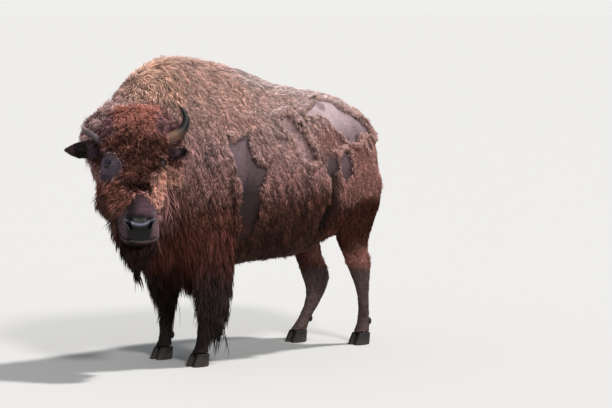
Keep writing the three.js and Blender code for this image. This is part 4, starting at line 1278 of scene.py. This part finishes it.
# Horns: x, y, z and radius of each station, in the head's axes.
hornLines = {
    "left": [(84, -42, -116, 29), (120, -42, -126, 30), (150, -43, -135, 30), (180, -44, -145, 29.5), (206, -45, -158, 28),
             (228, -45, -174, 26), (244, -45, -192, 23.5), (256, -43, -214, 20.5), (262, -42, -236, 17.4),
             (261, -42, -260, 14), (254, -42, -282, 10.6), (242, -44, -304, 6.8), (226, -46, -322, 2.2)],
    "right": [(-84, -42, -116, 24), (-120, -43, -125, 22), (-150, -44, -132, 19.5), (-176, -42, -143, 17.5),
              (-196, -38, -154, 15.8), (-213, -30, -163, 14.4), (-228, -20, -172, 13), (-243, -9, -180, 11.5),
              (-256, 2, -187, 8.5), (-261, 6, -189, 4)],
}
hornLook = {
    "sides": 32, "between": 6, "rings": 0.55, "spacing": 9,
    "left": {"base": (0.150, 0.080, 0.055), "middle": (0.150, 0.072, 0.047), "tip": (0.009, 0.008, 0.008),
             "tipFrom": (0.36, 0.58)},
    "right": {"base": (0.110, 0.078, 0.085), "middle": (0.130, 0.095, 0.110), "tip": (0.25, 0.18, 0.16),
              "tipFrom": (0.8, 0.97)},
}


def buildHorn(sideName):
    line = np.array(hornLines[sideName], float)
    steps = np.linspace(0, len(line) - 1, (len(line) - 1) * hornLook["between"] + 1)
    line = np.stack([np.interp(steps, np.arange(len(line)), line[:, k]) for k in range(4)], 1)
    for _ in range(8):
        line[1:-1] = (line[:-2] + 2 * line[1:-1] + line[2:]) / 4
    run = np.concatenate([[0], np.cumsum(np.linalg.norm(np.diff(line[:, :3], axis=0), axis=1))])
    share = run / run[-1]
    ridge = np.sin(run / hornLook["spacing"] * 2 * math.pi + 1.3 * np.sin(run * 0.11))
    line[:, 3] += hornLook["rings"] * ridge * ramp(0.75, 0.3, share)
    bm = bmesh.new()
    ahead = unit(np.gradient(line[:, :3], axis=0))
    ring = bmesh.ops.create_circle(bm, cap_ends=True, segments=hornLook["sides"], radius=1.0)["verts"]
    edges = list(bm.edges)
    before = Matrix.Identity(4)
    for number, (x, y, z, radius) in enumerate(line):
        if number:
            made = bmesh.ops.extrude_edge_only(bm, edges=edges)["geom"]
            ring = [item for item in made if isinstance(item, bmesh.types.BMVert)]
            edges = [item for item in made if isinstance(item, bmesh.types.BMEdge)]
        forward = Vector(headAxes @ ahead[number])
        across = forward.cross(Vector(headAxes[:, 1])).normalized()
        turn = Matrix((across, across.cross(forward), forward)).transposed()
        place = Matrix.Translation(Vector(fromHead((x, y, z)))) @ turn.to_4x4() @ Matrix.Scale(radius * mm, 4)
        bmesh.ops.transform(bm, verts=ring, matrix=place @ before.inverted())
        before = place
    middle = before.translation
    bmesh.ops.pointmerge(bm, verts=ring, merge_co=middle)
    bmesh.ops.recalc_face_normals(bm, faces=bm.faces)
    mesh = meshFrom(bm, f"horn_sheath_{sideName}")
    local = inHead(coordsOf(mesh))
    index = np.argmin(((local[:, None] - line[None, :, :3]) ** 2).sum(2), axis=1)
    share, ridge = share[index], ridge[index]
    points = coordsOf(mesh)
    base, middleTone, tip = (np.array(hornLook[sideName][key]) for key in ("base", "middle", "tip"))
    colour = blendedTowards(base, middleTone, ramp(0.15, 0.6, share))
    colour = blendedTowards(colour, tip, ramp(*hornLook[sideName]["tipFrom"], share))
    colour = colour * (1 + 0.14 * ridge * (share < 0.7))[:, None] * tone(points, 0.02, 0.2, 51)[:, None]
    paint(mesh, "tint", colour)
    smoothShade(mesh)
    mesh.materials.append(hornSheath)
    thing = addObject(f"horn_sheath_{sideName}", mesh)
    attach(thing, "root")
    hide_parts(f"horn_{sideName}")


hornSheath = hornMaterial("horn", 0.38)
for sideName in sides:
    buildHorn(sideName)
print("eyes and horns ready")


# Hooves and dewclaws: the solids' shapes, rounded, with growth lines.
hoofLook = {"voxel": 3.2, "rounds": 10, "lines": 0.5, "spacing": 7, "dewclawIn": 14}
hoofNames = [name for name in nodes if name.startswith(("hoof_", "dewclaw_"))]
bm = bmesh.new()
for name in hoofNames:
    start = len(bm.verts)
    bm.from_mesh(nodes[name].data)
    if name.startswith("dewclaw"):
        bm.verts.ensure_lookup_table()
        bmesh.ops.translate(bm, verts=bm.verts[start:], vec=(0, -hoofLook["dewclawIn"] * mm, 0))
bmesh.ops.remove_doubles(bm, verts=bm.verts, dist=weld)
hooves = addObject("hooves", meshFrom(bm, "hooves"))
hoofMesh = joinedShell(hooves, hoofLook["voxel"])
points = Neighbours(hoofMesh).relax(coordsOf(hoofMesh), hoofLook["rounds"])
points[:, 2] = np.maximum(points[:, 2], 0)
setCoords(hoofMesh, points)
hoofNormals = normalsOf(hoofMesh)
lines = np.sin(points[:, 2] / mm / hoofLook["spacing"] * 2 * math.pi + 1.5 * cloud(points, 0.03, 61))
flat = 1 - np.abs(hoofNormals[:, 2])
points += hoofNormals * (hoofLook["lines"] * mm * lines * flat)[:, None]
points[:, 2] = np.maximum(points[:, 2], 0)
setCoords(hoofMesh, points)
hoofTint = blendedTowards(palette["hoofSole"], palette["hoofTop"], ramp(0.0, 0.06, points[:, 2]))
paint(hoofMesh, "tint", hoofTint * (1 + 0.15 * lines * flat)[:, None] * tone(points, 0.02, 0.25, 62)[:, None])
smoothShade(hoofMesh)
hoofMesh.materials.clear()
hoofMesh.materials.append(hornMaterial("hoof", 0.5))
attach(hooves, "root")
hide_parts(*hoofNames)
print("hooves ready")


# Floor, light and camera.
def seenDirectly(shader):  # 1 where the camera, a mirror or glass looks at a surface
    camera, glossy, through = (shader.node("ShaderNodeLightPath", None, out=f"Is {kind} Ray")
                               for kind in ("Camera", "Glossy", "Transmission"))
    return camera.maths("MAXIMUM", camera.maths("MAXIMUM", camera, glossy), through)


studio = {"floor": (0.612, 0.608, 0.597), "floorBounce": (0.30, 0.29, 0.28), "radius": 70,
          "backdrop": (0.86, 0.86, 0.85), "sky": (0.90, 0.94, 1.0), "skyPower": 0.37}
lamps = {  # place, power, spread in degrees
    "top": ((1.4, 2.1, 5.0), 2.85, 5),
    "key": ((4.9, -1.4, 4.2), 1.4, 10),
}
lampColour = (1.0, 0.98, 0.95)


def buildStage():
    bm = bmesh.new()
    bmesh.ops.create_circle(bm, cap_ends=True, segments=96, radius=studio["radius"])
    floor = addObject("floor", meshFrom(bm, "floor"))
    shader = Shader("floor", Roughness=0.9, Specular_IOR_Level=0.1)
    shader.ink(shader.mixed(seenDirectly(shader), (*studio["floorBounce"], 1), (*studio["floor"], 1)))
    floor.data.materials.append(shader.material)
    world = bpy.data.worlds.new("world")
    bpy.context.scene.world = world
    world.use_nodes = True
    sky = Nodes(world.node_tree)
    light = sky.tree.nodes["Background"]
    sky.feed(light.inputs["Color"], (*studio["sky"], 1))
    sky.feed(light.inputs["Strength"], studio["skyPower"])
    backdrop = sky.node("ShaderNodeBackground", None, Color=(*studio["backdrop"], 1))
    seen = sky.node("ShaderNodeLightPath", None, out="Is Camera Ray")
    sky.feed(sky.tree.nodes["World Output"].inputs["Surface"],
             sky.node("ShaderNodeMixShader", None, seen, Socket(sky, light.outputs[0]), backdrop))


def addSun(name, place, power, spread):
    lamp = bpy.data.lights.new(name, "SUN")
    lamp.angle = math.radians(spread)
    lamp.energy = power
    lamp.color = lampColour
    thing = addObject(name, lamp)
    thing.location = place
    thing.rotation_euler = (-Vector(place)).to_track_quat("-Z", "Y").to_euler()


view = {"azimuth": 48, "elevation": 5.5, "distance": 14, "lens": 158, "aim": (0.150, 0.384, -0.006)}


def addCamera():
    low, high = (Vector(corner) for corner in cadBox)
    target = (low + high) / 2 + Vector(view["aim"])
    turn, rise = math.radians(view["azimuth"]), math.radians(view["elevation"])
    back = Vector((math.sin(turn) * math.cos(rise), -math.cos(turn) * math.cos(rise), math.sin(rise)))
    camera = bpy.data.cameras.new("camera")
    camera.lens = view["lens"]
    camera.sensor_width = 36
    camera.clip_end = 200
    thing = addObject("camera", camera)
    thing.location = target + back * view["distance"]
    thing.rotation_euler = (-back).to_track_quat("-Z", "Y").to_euler()
    bpy.context.scene.camera = thing


buildStage()
for name, (place, power, spread) in lamps.items():
    addSun(name, place, power, spread)
addCamera()
bpy.context.scene.view_settings.view_transform = "Standard"
